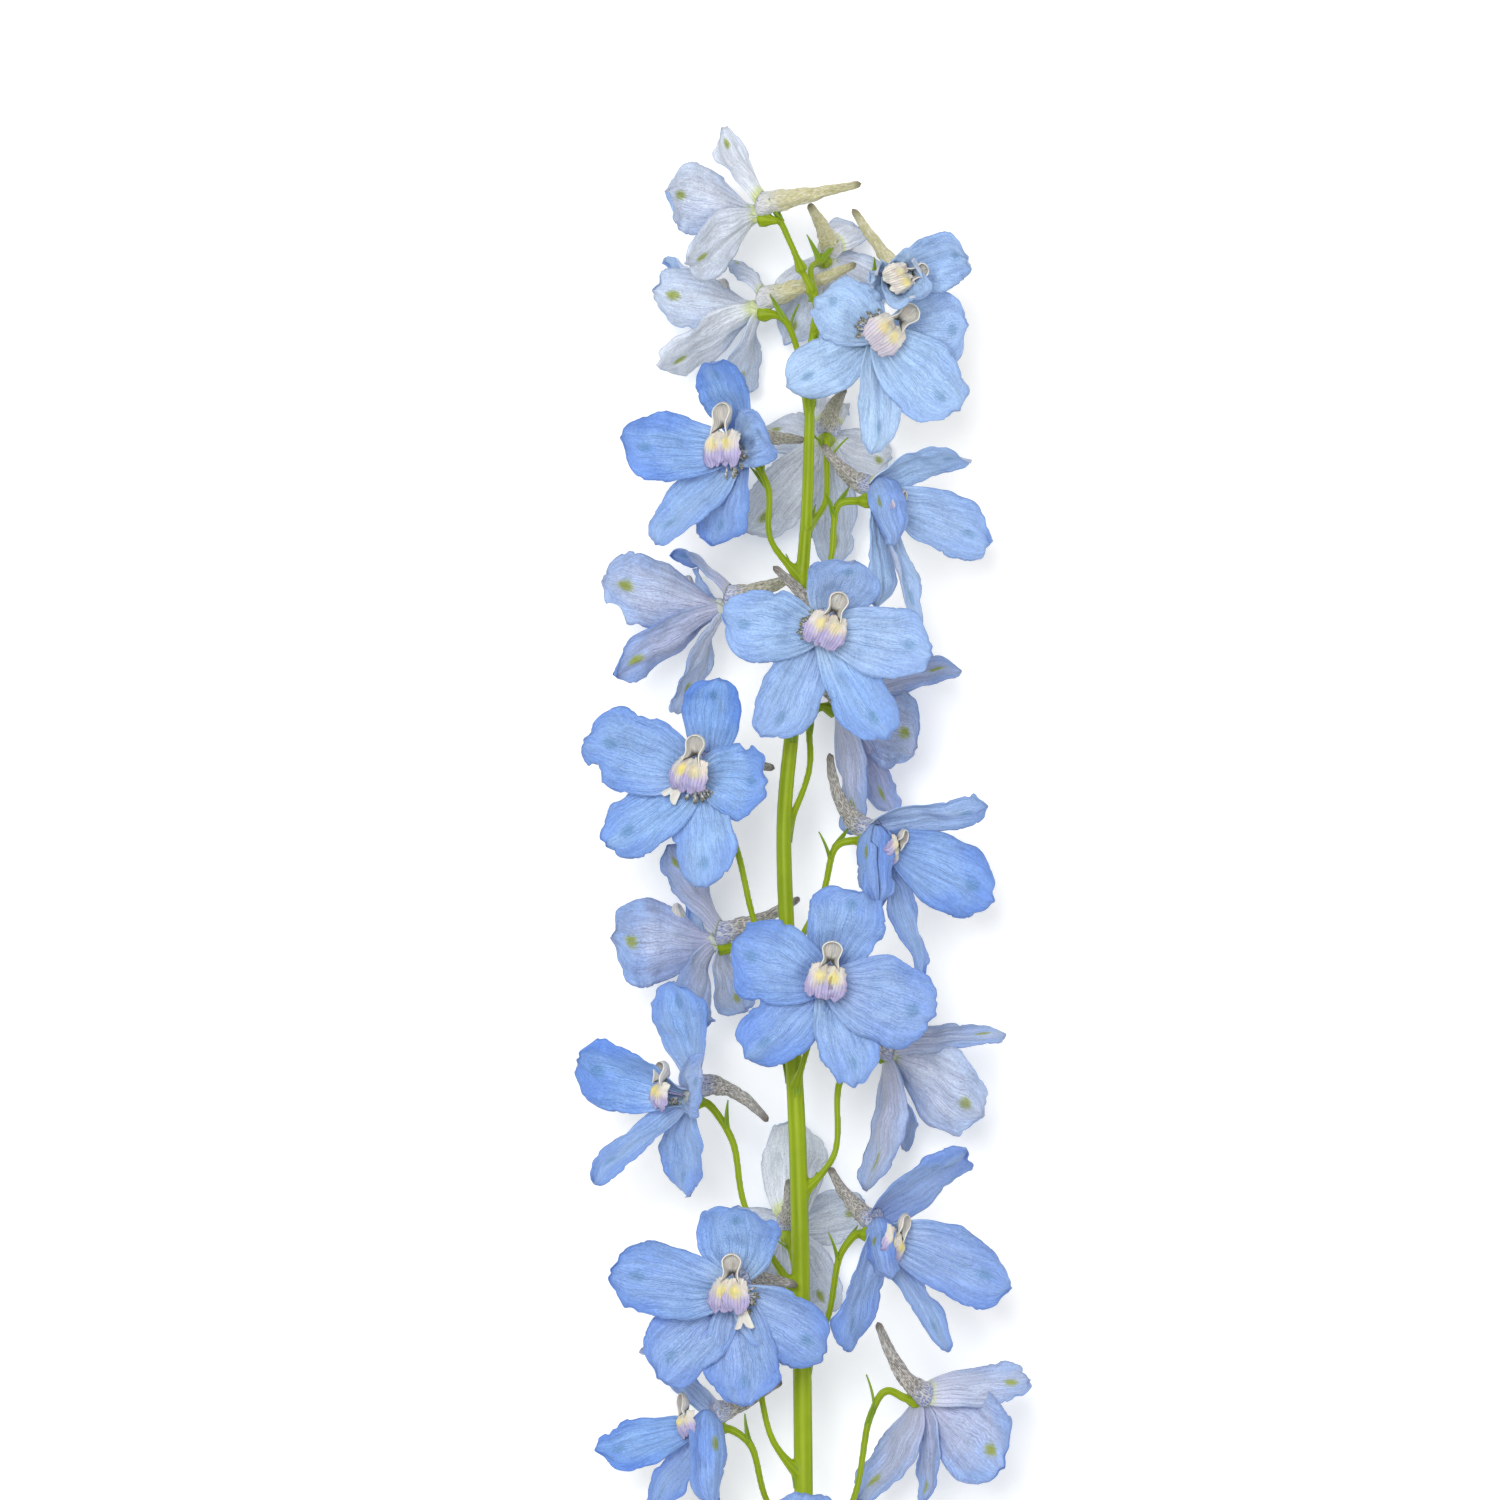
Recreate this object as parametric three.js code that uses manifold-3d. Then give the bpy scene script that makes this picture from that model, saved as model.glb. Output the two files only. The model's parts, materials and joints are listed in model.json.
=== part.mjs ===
// A delphinium flower spike, cut from its plant and laid down, in millimetres with +Z up.
// The stem lies along Y with its cut end at the low Y side, and the spike rests on the sepals of the
// florets at its back. The nodes are the green stem with its pedicels and bracts, and for each floret
// its blue flower (five sepals, the hub that joins them and the hollow-looking spur) and its pale bee
// (the four small petals and the stamens in the throat).
import * as THREE from "three";
import { mergeVertices } from "three/addons/utils/BufferGeometryUtils.js";
import Module from "manifold-3d";

const wasm = await Module();
wasm.setup();

// ---------------------------------------------------------------------------------------------
// Driving dimensions, in millimetres. Places are measured from the stem's cut end: X across the
// spike, Y up the stem toward its tip, Z from the stem's axis toward the viewer above.
// ---------------------------------------------------------------------------------------------
const REST_DEPTH = 27; // from the stem's axis down to the surface that the spike lies on
const CENTRE = { x: 1, y: 187.5 }; // the middle of the whole spike, moved to the origin

const STEM = {
  // [x, y, z, diameter] up the stem from its cut end
  path: [
    [1, 0, 0, 4.3],
    [1, 40, 0, 4.3],
    [0.5, 100, 0, 4.2],
    [-0.5, 150, 0, 4.0],
    [-2.5, 190, 0, 3.6],
    [-3.5, 222, 0, 3.4],
    [-1.5, 245, 0, 3.3],
    [0.5, 276, 0, 3.0],
    [1.5, 290, 0, 2.7],
    [2, 306, 0, 2.5],
    [2.5, 326, 0, 1.9],
    [3.5, 336, 0, 1.7],
    [0.5, 343, 0, 1.6],
  ],
  sides: 8,
};

const PEDICEL = { foot: 1.9, waist: 1.5, neck: 2.1, flare: 2.8, sides: 5, steps: 4 }; // diameters
const RECEPTACLE = { below: 1.5, length: 1.6 }; // its place under the spur, and its flare
const BRACT = {
  length: 7.5, // under a pedicel
  width: 1.3,
  thick: 0.7,
  flare: 0.3, // how far the end leans out, as a share of the length
  bracteole: 3, // the length of the two small ones near a floret
  places: [0.78, 0.85], // where those leave the pedicel, as shares of its length
};

const HUB = { radius: 2.3, back: 1.4, front: 1.9 }; // where sepals and spur meet
const SEAT_GAP = 0.3; // clearance between pieces that touch on the real flower
// The tolerances tried when a body is rid of splinters, and what counts as too short an edge.
const SPLINTERS = [0.02, 0.03, 0.01, 0.05, 0.005, 0.015, 0.08, 0.04];
const TOO_SHORT = 0.004;

const SEPAL = {
  thick: 0.7,
  claw: 0.27, // width at the base as a share of the whole
  widest: 0.58, // where it is widest, as a share of the length
  blunt: 2.9, // how square its end is
  nib: 1.3, // the small point beyond the rounded end
  hook: 1.8, // how far that end bends sideways at most
  shield: 0.8, // the claw of one that closes the side of a throat
  dome: 2.2, // how far such a one stands out
  rows: [
    // share of the length, and how far across each point of the row is
    [0, [-1, 1]],
    [0.26, [-1, 0, 1]],
    [0.56, [-1, -0.5, 0, 0.5, 1]],
    [0.85, [-1, 0, 1]],
  ],
  layers: [-0.3, 0.7, -0.2, -1, 0.7], // the side sepals lie in front of the others
};

// above: its axis over the heart. The upper sepal starts inside it, root over its axis, and takes in
// girth of its mouth, and hood more where it hangs over a bee that another sepal covers too.
const SPUR = { base: 5.4, tip: 2, sides: 5, steps: 4, above: 2.6, root: 1.4, girth: 8.4, hood: 4.5 };

const BEE = {
  // Its outline from the notch of the hood down the right side to the notch between the lower
  // lobes: to the right, up, and how far it stands out.
  rim: [
    [0, 8.6, 6.2],
    [2.3, 8.2, 5.8],
    [1.8, 4.8, 5.6],
    [4.6, 2.4, 5.8],
    [4.9, -1.4, 7.0],
    [2.6, -4.6, 6.2],
    [0, -3.6, 6.6],
  ],
  foot: 0.25, // the narrow foot in the throat, as a share of the outline
  throat: 0.4, // the edge of the hollow between the petals
  depth: 1.1, // how far that edge lies behind the rim
  floor: 3.2, // the bottom of the hollow, above the foot
  sunk: 0.72, // how deep one sits whose floret covers it, as a share of the plain depth
};

// Each floret from the tip of the spike down. heart: the middle of its hub. face: the way it looks,
// as degrees round the stem from the viewer toward +X, then degrees toward the tip. sepals: how far
// each tip is from the heart, the width, and any twist in degrees, clockwise from the upper sepal as
// the floret is faced. spur: how far its end is from the heart. joint: where the pedicel leaves the
// stem, if it isn't at the stem's tip, and way: the places that the pedicel passes. bee: how large
// the bee is. roll: how far it leans, in degrees. sag: how far it hangs down. cover: the sepal that
// closes the side of the throat, and where its foot is.
const FLORETS = [
  {
    heart: [-9.5, 355.5, 0], face: [-112, 5],
    sepals: [[-8.5, 18, 2, 7.5, -35], [-20, 4.5, 13, 15], [-14.5, -12.5, 13, 12.5],
      [-15, -8.5, -9, 12], [-12.5, 4.5, -17, 13]],
    spur: [23, 6.5, 4], joint: null, way: [[-2.5, 350, 0], [-4.5, 354, 0]],
  },
  {
    heart: [-9.5, 335, -11], face: [-112, 0],
    sepals: [[-6, 11, -3, 8, -30], [-22.5, 3.5, 6, 15], [-21, -14, 6, 13],
      [-4, -18, -9, 12, 40], [-20.5, 11, -11, 14]],
    spur: [22, 10, 5], joint: 313, way: [[-0.5, 325.5, -3], [-3, 332, -7]],
  },
  {
    heart: [6, 346.5, -14], face: [168, -12],
    sepals: [[6, 7.5, -9, 11], [-10.5, -11.5, -9, 12], [-9.5, -18.5, -4, 12],
      [2, -19.5, -8, 12], [14.5, -8, -12, 12]],
    spur: [-4, 11.5, 11], joint: 338, way: [[2.5, 344, -4], [4.5, 345.5, -9]],
  },
  {
    heart: [19.5, 341, 10], face: [15, -4],
    sepals: [[16.5, 5, 4, 13], [5.5, -5.5, 10.5, 16], [-3.5, -3, 8, 8],
      [-3.5, 1, 8, 8], [6, 2.5, 10, 12]],
    spur: [-8, 16, -15], joint: 330, way: [[8.5, 334, -1], [15, 338.5, 0]],
  },
  {
    heart: [16.5, 328.5, 8], face: [14, 0],
    sepals: [[20, 1.5, -2, 17], [17.5, -17, 5, 18], [0.5, -26, 6, 9.5],
      [-19, -11.5, 8, 13], [-12, 9, 7, 15.5]],
    spur: [-5.5, -8, -16], joint: 315, way: [[6, 321, 4], [13, 326, 5]], roll: 35,
  },
  {
    heart: [-13, 303, 8], face: [-34, 4],
    sepals: [[-7, 19, 8, 12], [5.5, 4.5, 18, 13], [-5, -20.5, 3, 14],
      [-19.5, -19.5, 8, 12], [-26, 1, 8, 15]],
    spur: [14, 3, -14], joint: 275, way: [[-6.5, 284, 2], [-7, 295, 3]], bee: 1.25, roll: -8,
  },
  {
    heart: [6, 306.5, -13], face: [180, -22],
    sepals: [[2, 9, -16, 8], [-13.5, 3, -12, 12], [-17, -21, -5, 13],
      [2, -27.5, -6, 11], [14, -5.5, -9, 13]],
    spur: [4, 11, 8], joint: 286, way: [[5.5, 292, -5], [6, 301, -8]],
  },
  {
    heart: [16.5, 293, 5], face: [60, -4],
    sepals: [[20, 9, 4, 11], [25, -10, -5, 15], [9, -27.5, 3, 8.5],
      [1.5, -24, 6, 9], [5, -9.5, 8, 8.5, -90]],
    spur: [-11.5, 12, -8], joint: 266,
    way: [[6.5, 278.5, 3], [8.5, 291.5, 3]], bee: 0.7, sag: 3, cover: [4, [0.9, 4.4, 1.6]],
  },
  {
    heart: [-17, 269, -4], face: [-102, 2],
    sepals: [[-11, 12.5, -4, 9, 30], [-26, 6, 10, 16], [-24, -14, 7, 12.5],
      [-9, -23, -8, 11, 40], [-7, 5, -22, 12]],
    spur: [17, 7.5, -4], joint: 239, way: [[-3.5, 251, -3], [-9, 265, -4]],
  },
  {
    heart: [4.5, 263.5, 16], face: [8, 0],
    sepals: [[7, 15, 6, 16.5], [24, -4, 4, 15.5], [14, -23.5, 5, 13],
      [-11.5, -23.5, 5, 14], [-21.5, 2, 6, 16]],
    spur: [-10.5, 14.5, -10], joint: 241, way: [[0, 251, 6], [1.5, 259.5, 9]],
  },
  {
    heart: [-21.5, 232, 8], face: [-20, 0],
    sepals: [[3, 21, 6, 13.5], [14, -1.5, 8, 17], [1, -24, 5, 14.5],
      [-20.5, -15.5, 5, 14], [-25, 9, 6, 18]],
    spur: [16, 1.5, -13], joint: 186, way: [[-9.5, 198.5, 3], [-14, 216, 4]],
  },
  {
    heart: [9, 247, -10], face: [122, -14],
    sepals: [[26, 9, 1, 7], [17, -7, 9, 18], [11.5, -23.5, -5, 12],
      [3.5, -27.5, 2, 12], [14.5, 4, -18, 13]],
    spur: [-7.5, 11.5, 4], joint: 219, way: [[2, 233, -5], [2.5, 245, -8]],
  },
  {
    heart: [16, 218, 6], face: [58, -6],
    sepals: [[25, 6, 3, 8], [26.5, -13, -4, 17], [11, -29.5, 2, 10],
      [0.5, -21, 7, 10], [0.5, -13.5, 8.6, 9, -90]],
    spur: [-9.5, 19, -12], joint: 191,
    way: [[5, 206, 3], [8, 216.5, 4]], bee: 0.85, sag: 2.7, cover: [4, [0.3, 3.4, 2.2]],
  },
  {
    heart: [-18.5, 195, -6], face: [-106, 0],
    sepals: [[-11, 21, 4, 11, -45], [-23, 0.5, 11, 20], [-3.5, -18, 13, 12, 40],
      [6.5, -15, -8, 12, 30], [-5.5, 8.5, -21.5, 12]],
    spur: [18.5, 10, -3], joint: 166, way: [[-6, 180.5, -3], [-12, 191.5, -5]],
  },
  {
    heart: [5.5, 187, 18], face: [2, 2],
    sepals: [[6.5, 20, 6, 17], [23.5, -7.5, 4, 19], [7.5, -22, 5, 13],
      [-17, -16.5, 5, 15], [-20.5, 7.5, 6, 18.5]],
    spur: [-3, 8, -13], joint: 163, way: [[1.5, 172, 8], [4, 181.5, 11]], roll: 8,
  },
  {
    heart: [-24, 161.5, 4], face: [-58, 4],
    sepals: [[-3, 25, 6, 16, 30], [3, 5, 18, 14], [-1, -21.5, 2, 15],
      [-22, -17.5, 3, 9], [-25, 6.5, 4, 17]],
    spur: [17, -5.5, 0], joint: 116, way: [[-12, 137, 2], [-15, 152, 2]],
  },
  {
    heart: [19.5, 170.5, -5], face: [116, -8],
    sepals: [[25.5, 4.5, 2, 6], [20.5, -13.5, 6, 20], [3.5, -20.5, -13, 11],
      [-5, -29.5, 2, 14], [15, -2, -22, 13]],
    spur: [-14, 5, 6], joint: 139, way: [[7.5, 148.5, -1], [9, 165, -2]],
  },
  {
    heart: [-2.5, 131, -13], face: [180, 0],
    sepals: [[2, 24, -4, 14], [-10.5, -0.5, -14.5, 12], [-8, -21, -6, 12],
      [9, -18.5, -6, 12], [17, 4.5, -7, 12]],
    spur: [0, 12, 7], joint: 112, way: [[-1, 122, -6], [-2, 127.5, -9]],
  },
  {
    heart: [-14, 119, 14], face: [-10, 0],
    sepals: [[0, 19, 8, 19], [19.5, -12.5, 3, 15.5], [2.5, -24, 3, 16],
      [-18, -17, 5, 16], [-27, 5, 5, 16]],
    spur: [13.5, 1, -9], joint: 77, way: [[-6, 86, 3], [-9, 98, 5]],
  },
  {
    heart: [16.5, 132, 6], face: [52, -6],
    sepals: [[20.5, 17, 3, 15], [29.5, -12, -2, 16.5], [15.5, -26, 3, 9.5],
      [-7.5, -25, 5, 13], [2.5, -10, 8, 7.5, -90]],
    spur: [-10, 14, -3], joint: 102,
    way: [[6, 112.5, 2], [9, 127, 3]], sag: 3, cover: [4, [0.4, 3.2, 2]],
  },
  {
    heart: [27, 94.5, -3], face: [128, -14],
    sepals: [[23.5, 3.5, 1, 10.5], [18, -13, 10, 20], [0.5, -24.5, -4, 10],
      [-14.5, -22, -3, 12], [14, -1, -22, 13]],
    spur: [-10, 17.5, 6], joint: 50, way: [[12, 73.5, 0], [15.5, 91, -1], [19, 96.5, -2.5]],
  },
  {
    heart: [-19.5, 89.5, 3], face: [-62, 0],
    sepals: [[-15, 17, 4, 13, -25], [-0.7, -16.5, 8, 9, 90], [2, -22, -10.5, 11],
      [-13.5, -19.5, 2, 12], [-25, -7, -3, 10.5]],
    spur: [15.5, 9.5, -2], joint: 59,
    way: [[-7.5, 73, 1], [-11, 85, 2]], bee: 0.88, cover: [1, [-1, 3.4, 2.8]],
  },
  {
    heart: [0, 55.5, 16], face: [0, 4],
    sepals: [[0, 20, 6, 16], [21.5, 2, 5, 17], [13.5, -18.5, 4, 13.5],
      [-10.5, -20, 4, 13.5], [-21.5, 4, 5, 17]],
    spur: [-7, 8.5, -13], joint: 28, way: [[0.5, 42, 6], [0, 51.5, 9]],
  },
];

// ---------------------------------------------------------------------------------------------
// Small helpers
// ---------------------------------------------------------------------------------------------
const vec = (p) => new THREE.Vector3(p[0], p[1], p[2]);
const mix = (a, b, t) => a + (b - a) * t;
const smooth = (t) => t * t * (3 - 2 * t);

/** A repeatable draw from 0 to 1 for a whole number. */
function draw(n) {
  const s = Math.sin(n * 12.9898) * 43758.5453;
  return s - Math.floor(s);
}

/** The solid inside closed triangles, for joining and cutting. */
function solid(positions, triangles) {
  const raw = new THREE.BufferGeometry();
  raw.setAttribute("position", new THREE.Float32BufferAttribute(positions.flatMap((p) => p.toArray()), 3));
  raw.setIndex(triangles.flat());
  const g = mergeVertices(raw, 1e-4);
  return new wasm.Manifold(
    new wasm.Mesh({
      numProp: 3,
      vertProperties: g.attributes.position.array,
      triVerts: new Uint32Array(g.index.array),
    }),
  );
}

/** How many edges of a body are too short, or shared by other than two triangles once rounded. */
function flaws(body) {
  const { vertProperties, triVerts } = body.getMesh();
  const corner = (i) => Array.from(vertProperties.subarray(3 * i, 3 * i + 3));
  const uses = new Map();
  let short = 0;
  triVerts.forEach((a, i) => {
    const ends = [corner(a), corner(triVerts[i % 3 === 2 ? i - 2 : i + 1])];
    if (Math.hypot(...ends[0].map((v, axis) => v - ends[1][axis])) < TOO_SHORT) short++;
    const edge = ends.map((end) => end.map((v) => v.toFixed(3)).join()).sort().join();
    uses.set(edge, (uses.get(edge) ?? 0) + 1);
  });
  return short + 100 * [...uses.values()].filter((count) => count !== 2).length;
}

/** The same body without splinters, at the tolerance that leaves the fewest flaws. */
function cleaned(body) {
  const tries = SPLINTERS.map((size) => ({ made: body.simplify(size) }));
  tries.forEach((one) => (one.flaws = flaws(one.made)));
  return tries.reduce((a, b) => (b.flaws < a.flaws ? b : a)).made;
}

/** The largest connected body of a solid. */
function largest(body) {
  return body.decompose().reduce((a, b) => (b.volume() > a.volume() ? b : a));
}

/** A named mesh of a solid, with flat faces, measured from the middle of the group that holds it. */
function meshOf(name, body, look, middle = new THREE.Vector3()) {
  const m = body.translate(middle.clone().negate().toArray()).getMesh();
  const g = new THREE.BufferGeometry();
  g.setAttribute("position", new THREE.Float32BufferAttribute(Array.from(m.vertProperties), 3));
  g.setIndex(Array.from(m.triVerts));
  const mesh = new THREE.Mesh(g.toNonIndexed(), new THREE.MeshStandardMaterial(look));
  mesh.geometry.computeVertexNormals();
  mesh.name = name;
  return mesh;
}

/** A closed body through rings, each {centre, radius, along, flatten}, as polygons of some sides. */
function loft(rings, sides, across) {
  const positions = [];
  const triangles = [];
  let side = across.clone();
  rings.forEach(({ centre, radius, along, flatten = 1 }) => {
    side = side.clone().addScaledVector(along, -side.dot(along)).normalize();
    const other = along.clone().cross(side);
    for (let k = 0; k < sides; k++) {
      const a = (2 * Math.PI * k) / sides;
      const place = centre.clone().addScaledVector(side, Math.cos(a) * radius);
      positions.push(place.addScaledVector(other, Math.sin(a) * radius * flatten));
    }
  });
  const top = (rings.length - 1) * sides;
  for (let i = 0; i < top; i += sides)
    for (let k = 0; k < sides; k++) {
      const [a, b] = [i + k, i + ((k + 1) % sides)];
      triangles.push([a, b, b + sides], [a, b + sides, a + sides]);
    }
  for (let k = 1; k < sides - 1; k++) triangles.push([0, k + 1, k], [top, top + k, top + k + 1]);
  return solid(positions, triangles);
}

/** A closed tapered tube along points with a radius each, flattened across if asked. */
function taperedTube(points, radii, sides, flatten = 1, across = new THREE.Vector3(1, 0, 0)) {
  const end = points.length - 1;
  const rings = points.map((centre, i) => ({
    centre,
    radius: radii[i],
    flatten,
    along: points[Math.min(i + 1, end)].clone().sub(points[Math.max(i - 1, 0)]).normalize(),
  }));
  return loft(rings, sides, across);
}

/**
 * A closed blade from rows of places {s, point, normal}, s running across from -1 to 1, and a tip.
 * Rows may differ in how many places they have; both faces are split into triangles alike.
 */
function blade(rows, tip, thick) {
  const places = [...rows.flat(), tip];
  const positions = [thick / 2, -thick / 2].flatMap((half) =>
    places.map(({ point, normal }) => point.clone().addScaledVector(normal, half)),
  );
  const starts = rows.map((_, i) => rows.slice(0, i).flat().length);
  const end = places.length - 1;
  const triangles = [];
  const both = (a, b, c) => {
    triangles.push([a, b, c], [places.length + a, places.length + c, places.length + b]);
  };
  rows.slice(1).forEach((next, r) => {
    const row = rows[r];
    let i = 0;
    let j = 0;
    while (i < row.length - 1 || j < next.length - 1) {
      const [a, b] = [starts[r] + i, starts[r + 1] + j];
      if (j === next.length - 1 || (i < row.length - 1 && row[i + 1].s <= next[j + 1].s)) {
        both(a, a + 1, b);
        i++;
      } else {
        both(a, b + 1, b);
        j++;
      }
    }
  });
  const last = starts.at(-1);
  for (let j = 0; j < rows.at(-1).length - 1; j++) both(last + j, last + j + 1, end);
  // The rim, once round: the base, the right edge, the tip, the left edge.
  const rim = [
    ...rows[0].map((_, j) => j),
    ...rows.slice(1).map((row, i) => starts[i + 1] + row.length - 1),
    end,
    ...starts.slice(1).reverse(),
  ];
  rim.forEach((a, i) => {
    const b = rim[(i + 1) % rim.length];
    triangles.push([b, a, places.length + a], [b, places.length + a, places.length + b]);
  });
  return solid(positions, triangles);
}

// ---------------------------------------------------------------------------------------------
// A floret's own frame, and its pieces
// ---------------------------------------------------------------------------------------------

/** The way a floret looks, the way its upper sepal points, and its right as it is faced. */
function frameOf(floret) {
  const [round, toward] = floret.face.map(THREE.MathUtils.degToRad);
  const out = new THREE.Vector3(
    Math.sin(round) * Math.cos(toward),
    Math.sin(toward),
    Math.cos(round) * Math.cos(toward),
  );
  const up = vec(floret.sepals[0]);
  up.addScaledVector(out, -up.dot(out)).normalize();
  return { heart: vec(floret.heart), out, up, right: up.clone().cross(out) };
}

/** A place given in a floret's frame: to its right, up, and out of its face. */
function inFrame(frame, x, y, z) {
  return frame.heart
    .clone()
    .addScaledVector(frame.right, x)
    .addScaledVector(frame.up, y)
    .addScaledVector(frame.out, z);
}

/** Half the width of a sepal at a share of its length, as a share of its widest half. */
function sepalOutline(u, claw) {
  if (u < SEPAL.widest) return mix(claw, 1, Math.sin((Math.PI / 2) * (u / SEPAL.widest)));
  const t = (u - SEPAL.widest) / (1 - SEPAL.widest);
  return Math.sqrt(Math.max(0, 1 - t ** SEPAL.blunt));
}

/** A step across, bent round an axis that lies a radius below along the inward direction. */
function bentStep(tangent, radial, radius, across) {
  const turn = 2 * Math.tanh(across / radius / 2);
  const step = tangent.clone().multiplyScalar(radius * Math.sin(turn));
  return step.addScaledVector(radial, -radius * (1 - Math.cos(turn)));
}

/** The middle surface of one sepal, grown if asked, as a function of (share of length, -1 to 1 across). */
function sepalSurface(frame, floret, index, number, grown) {
  const seed = number * 10 + index;
  const tip = frame.heart.clone().add(vec(floret.sepals[index]));
  const reach = tip.clone().sub(frame.heart);
  const forward = reach.dot(frame.out);
  const radial = reach.clone().addScaledVector(frame.out, -forward).normalize();
  const upper = index === 0; // it grows from the spur, round whose mouth it bends
  const axis = upper ? SPUR.above : 0;
  const base = frame.heart
    .clone()
    .addScaledVector(radial, upper ? SPUR.above + SPUR.root : 1)
    .addScaledVector(frame.out, upper ? -HUB.back : SEPAL.layers[index]);
  const covers = floret.cover?.[0] === index;
  if (covers) base.copy(frame.heart).add(vec(floret.cover[1]));
  const length = tip.distanceTo(base);
  const lean = Math.asin(THREE.MathUtils.clamp(forward / reach.length(), -0.9, 0.9));
  const start = lean + mix(0.35, 0.6, draw(seed)) * THREE.MathUtils.clamp(1 - lean / 1.1, 0, 1);
  const knee = base
    .clone()
    .addScaledVector(radial, Math.cos(start) * length * 0.45)
    .addScaledVector(frame.out, Math.sin(start) * length * 0.45 + SEPAL.layers[index] / 2);
  const [, , , width, turn = mix(-12, 12, draw(seed + 0.3))] = floret.sepals[index];
  const hooded = floret.cover ? SPUR.hood : 0;
  let claw = upper ? Math.min(hooded ? 1.5 : 0.95, (SPUR.girth + hooded) / width) : SEPAL.claw;
  const twist = THREE.MathUtils.degToRad(turn);
  const wave = draw(seed + 0.7) * 6.3;
  const curl = mix(0.1, 0.28, draw(seed + 0.5));
  const hook = mix(-1, 1, draw(seed + 0.77)) * SEPAL.hook;
  const tangent = radial.clone().cross(frame.out);
  if (covers) {
    claw = SEPAL.shield;
    const domed = tip.clone().sub(base).cross(frame.out).setLength(twist < 0 ? SEPAL.dome : -SEPAL.dome);
    knee.copy(base).lerp(tip, 0.45).add(domed);
  }
  const spread = new THREE.Vector3();
  return (u, s) => {
    const a = (1 - u) ** 2;
    const b = 2 * u * (1 - u);
    const c = u * u;
    const point = base.clone().multiplyScalar(a).addScaledVector(knee, b).addScaledVector(tip, c);
    const along = knee
      .clone()
      .sub(base)
      .multiplyScalar(1 - u)
      .addScaledVector(tip, u)
      .addScaledVector(knee, -u)
      .normalize();
    const face = frame.out.clone().addScaledVector(along, -frame.out.dot(along)).normalize();
    face.applyAxisAngle(along, twist * (covers ? 1 : u));
    spread.copy(along).cross(face);
    const half = (width / 2) * sepalOutline(u, claw);
    const ragged = 1 + 0.07 * Math.sin(9 * u + wave + (s > 0 ? 2 : 0)) * u;
    const cup = curl * half * s * s * (1.15 - 1.9 * u);
    const rib = -0.45 * Math.max(0, 1 - Math.abs(s) * 2.2) * Math.sin(Math.PI * Math.min(1, u * 1.1));
    const ruffle = 0.8 * Math.abs(s) ** 3 * Math.sin(7.5 * u + wave + (s > 0 ? 1.7 : 0)) * smooth(u);
    const radius = Math.max(HUB.radius, point.clone().sub(frame.heart).dot(radial) - axis);
    const across = (half * ragged + grown) * s;
    const bent = covers ? 0 : THREE.MathUtils.clamp(1.3 - radius / 8, 0, 1);
    const step = spread
      .clone()
      .multiplyScalar(across)
      .lerp(bentStep(tangent, radial, radius, across), bent)
      .addScaledVector(spread, hook * smooth(THREE.MathUtils.clamp(5 * u - 4, 0, 1)) ** 2);
    return point.add(step).addScaledVector(face, cup + rib + ruffle);
  };
}

/** The unit normal of a surface at (u, s), toward the way the floret looks. */
function normalAt(surface, u, s, toward) {
  const e = 0.02;
  const du = surface(Math.min(1, u + e), s).sub(surface(Math.max(0, u - e), s));
  const ds = surface(u, Math.min(1, s + e)).sub(surface(u, Math.max(-1, s - e)));
  const n = ds.cross(du).normalize();
  return n.dot(toward) < 0 ? n.negate() : n;
}

/** The way that a sepal's inner face looks, roughly. */
function facing(frame, floret, index) {
  if (floret.cover?.[0] !== index) return frame.out;
  return vec(floret.sepals[index]).cross(frame.out).multiplyScalar(Math.sign(floret.sepals[index][4]));
}

/** One sepal as a solid blade, or the blade grown all round. */
function sepal(frame, floret, index, number, grown = 0) {
  const surface = sepalSurface(frame, floret, index, number, grown);
  const toward = facing(frame, floret, index);
  const rows = SEPAL.rows.map(([u, across]) => {
    const middle = normalAt(surface, u, 0, toward);
    return across.map((s) => ({ s, point: surface(u, s), normal: normalAt(surface, u, s * 0.9, middle) }));
  });
  const end = surface(1, 0);
  const nib = end.clone().sub(surface(0.95, 0)).setLength(SEPAL.nib + grown);
  const tip = { s: 0, point: end.add(nib), normal: rows.at(-1)[1].normal };
  return blade(rows, tip, SEPAL.thick + 2 * grown);
}

/** The hub that carries the sepals, flat at its back, and the spur that leaves it and bends. */
function hubAndSpur(frame, floret) {
  const back = frame.out.clone().negate();
  const ring = (y, z, radius) => ({ centre: inFrame(frame, 0, y, z), radius, along: back });
  const start = inFrame(frame, 0, SPUR.above, -HUB.back);
  const end = frame.heart.clone().add(vec(floret.spur));
  const length = end.distanceTo(start);
  const knee = start.clone().addScaledVector(back, 0.5 * length).addScaledVector(frame.up, 0.12 * length);
  const curve = new THREE.QuadraticBezierCurve3(start, knee, end);
  const rings = [
    ring(0.2, HUB.front, HUB.radius * 0.5),
    ring(0.3, -0.2, HUB.radius),
    ring(0.3, -HUB.back, HUB.radius * 0.9),
    ring(SPUR.above, -HUB.back - 0.1, SPUR.base / 2),
  ];
  for (let i = 1; i <= SPUR.steps; i++) {
    const t = i / SPUR.steps;
    const radius = mix(SPUR.base, SPUR.tip, t ** 0.72) / 2;
    rings.push({ centre: curve.getPoint(t), radius, along: curve.getTangent(t) });
  }
  return loft(rings, SPUR.sides, frame.right);
}

/** A floret's five sepals, hub and spur in one body. */
function flower(frame, floret, number) {
  const pieces = [hubAndSpur(frame, floret)];
  for (let i = 0; i < 5; i++) pieces.push(sepal(frame, floret, i, number));
  return wasm.Manifold.union(pieces);
}

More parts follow.
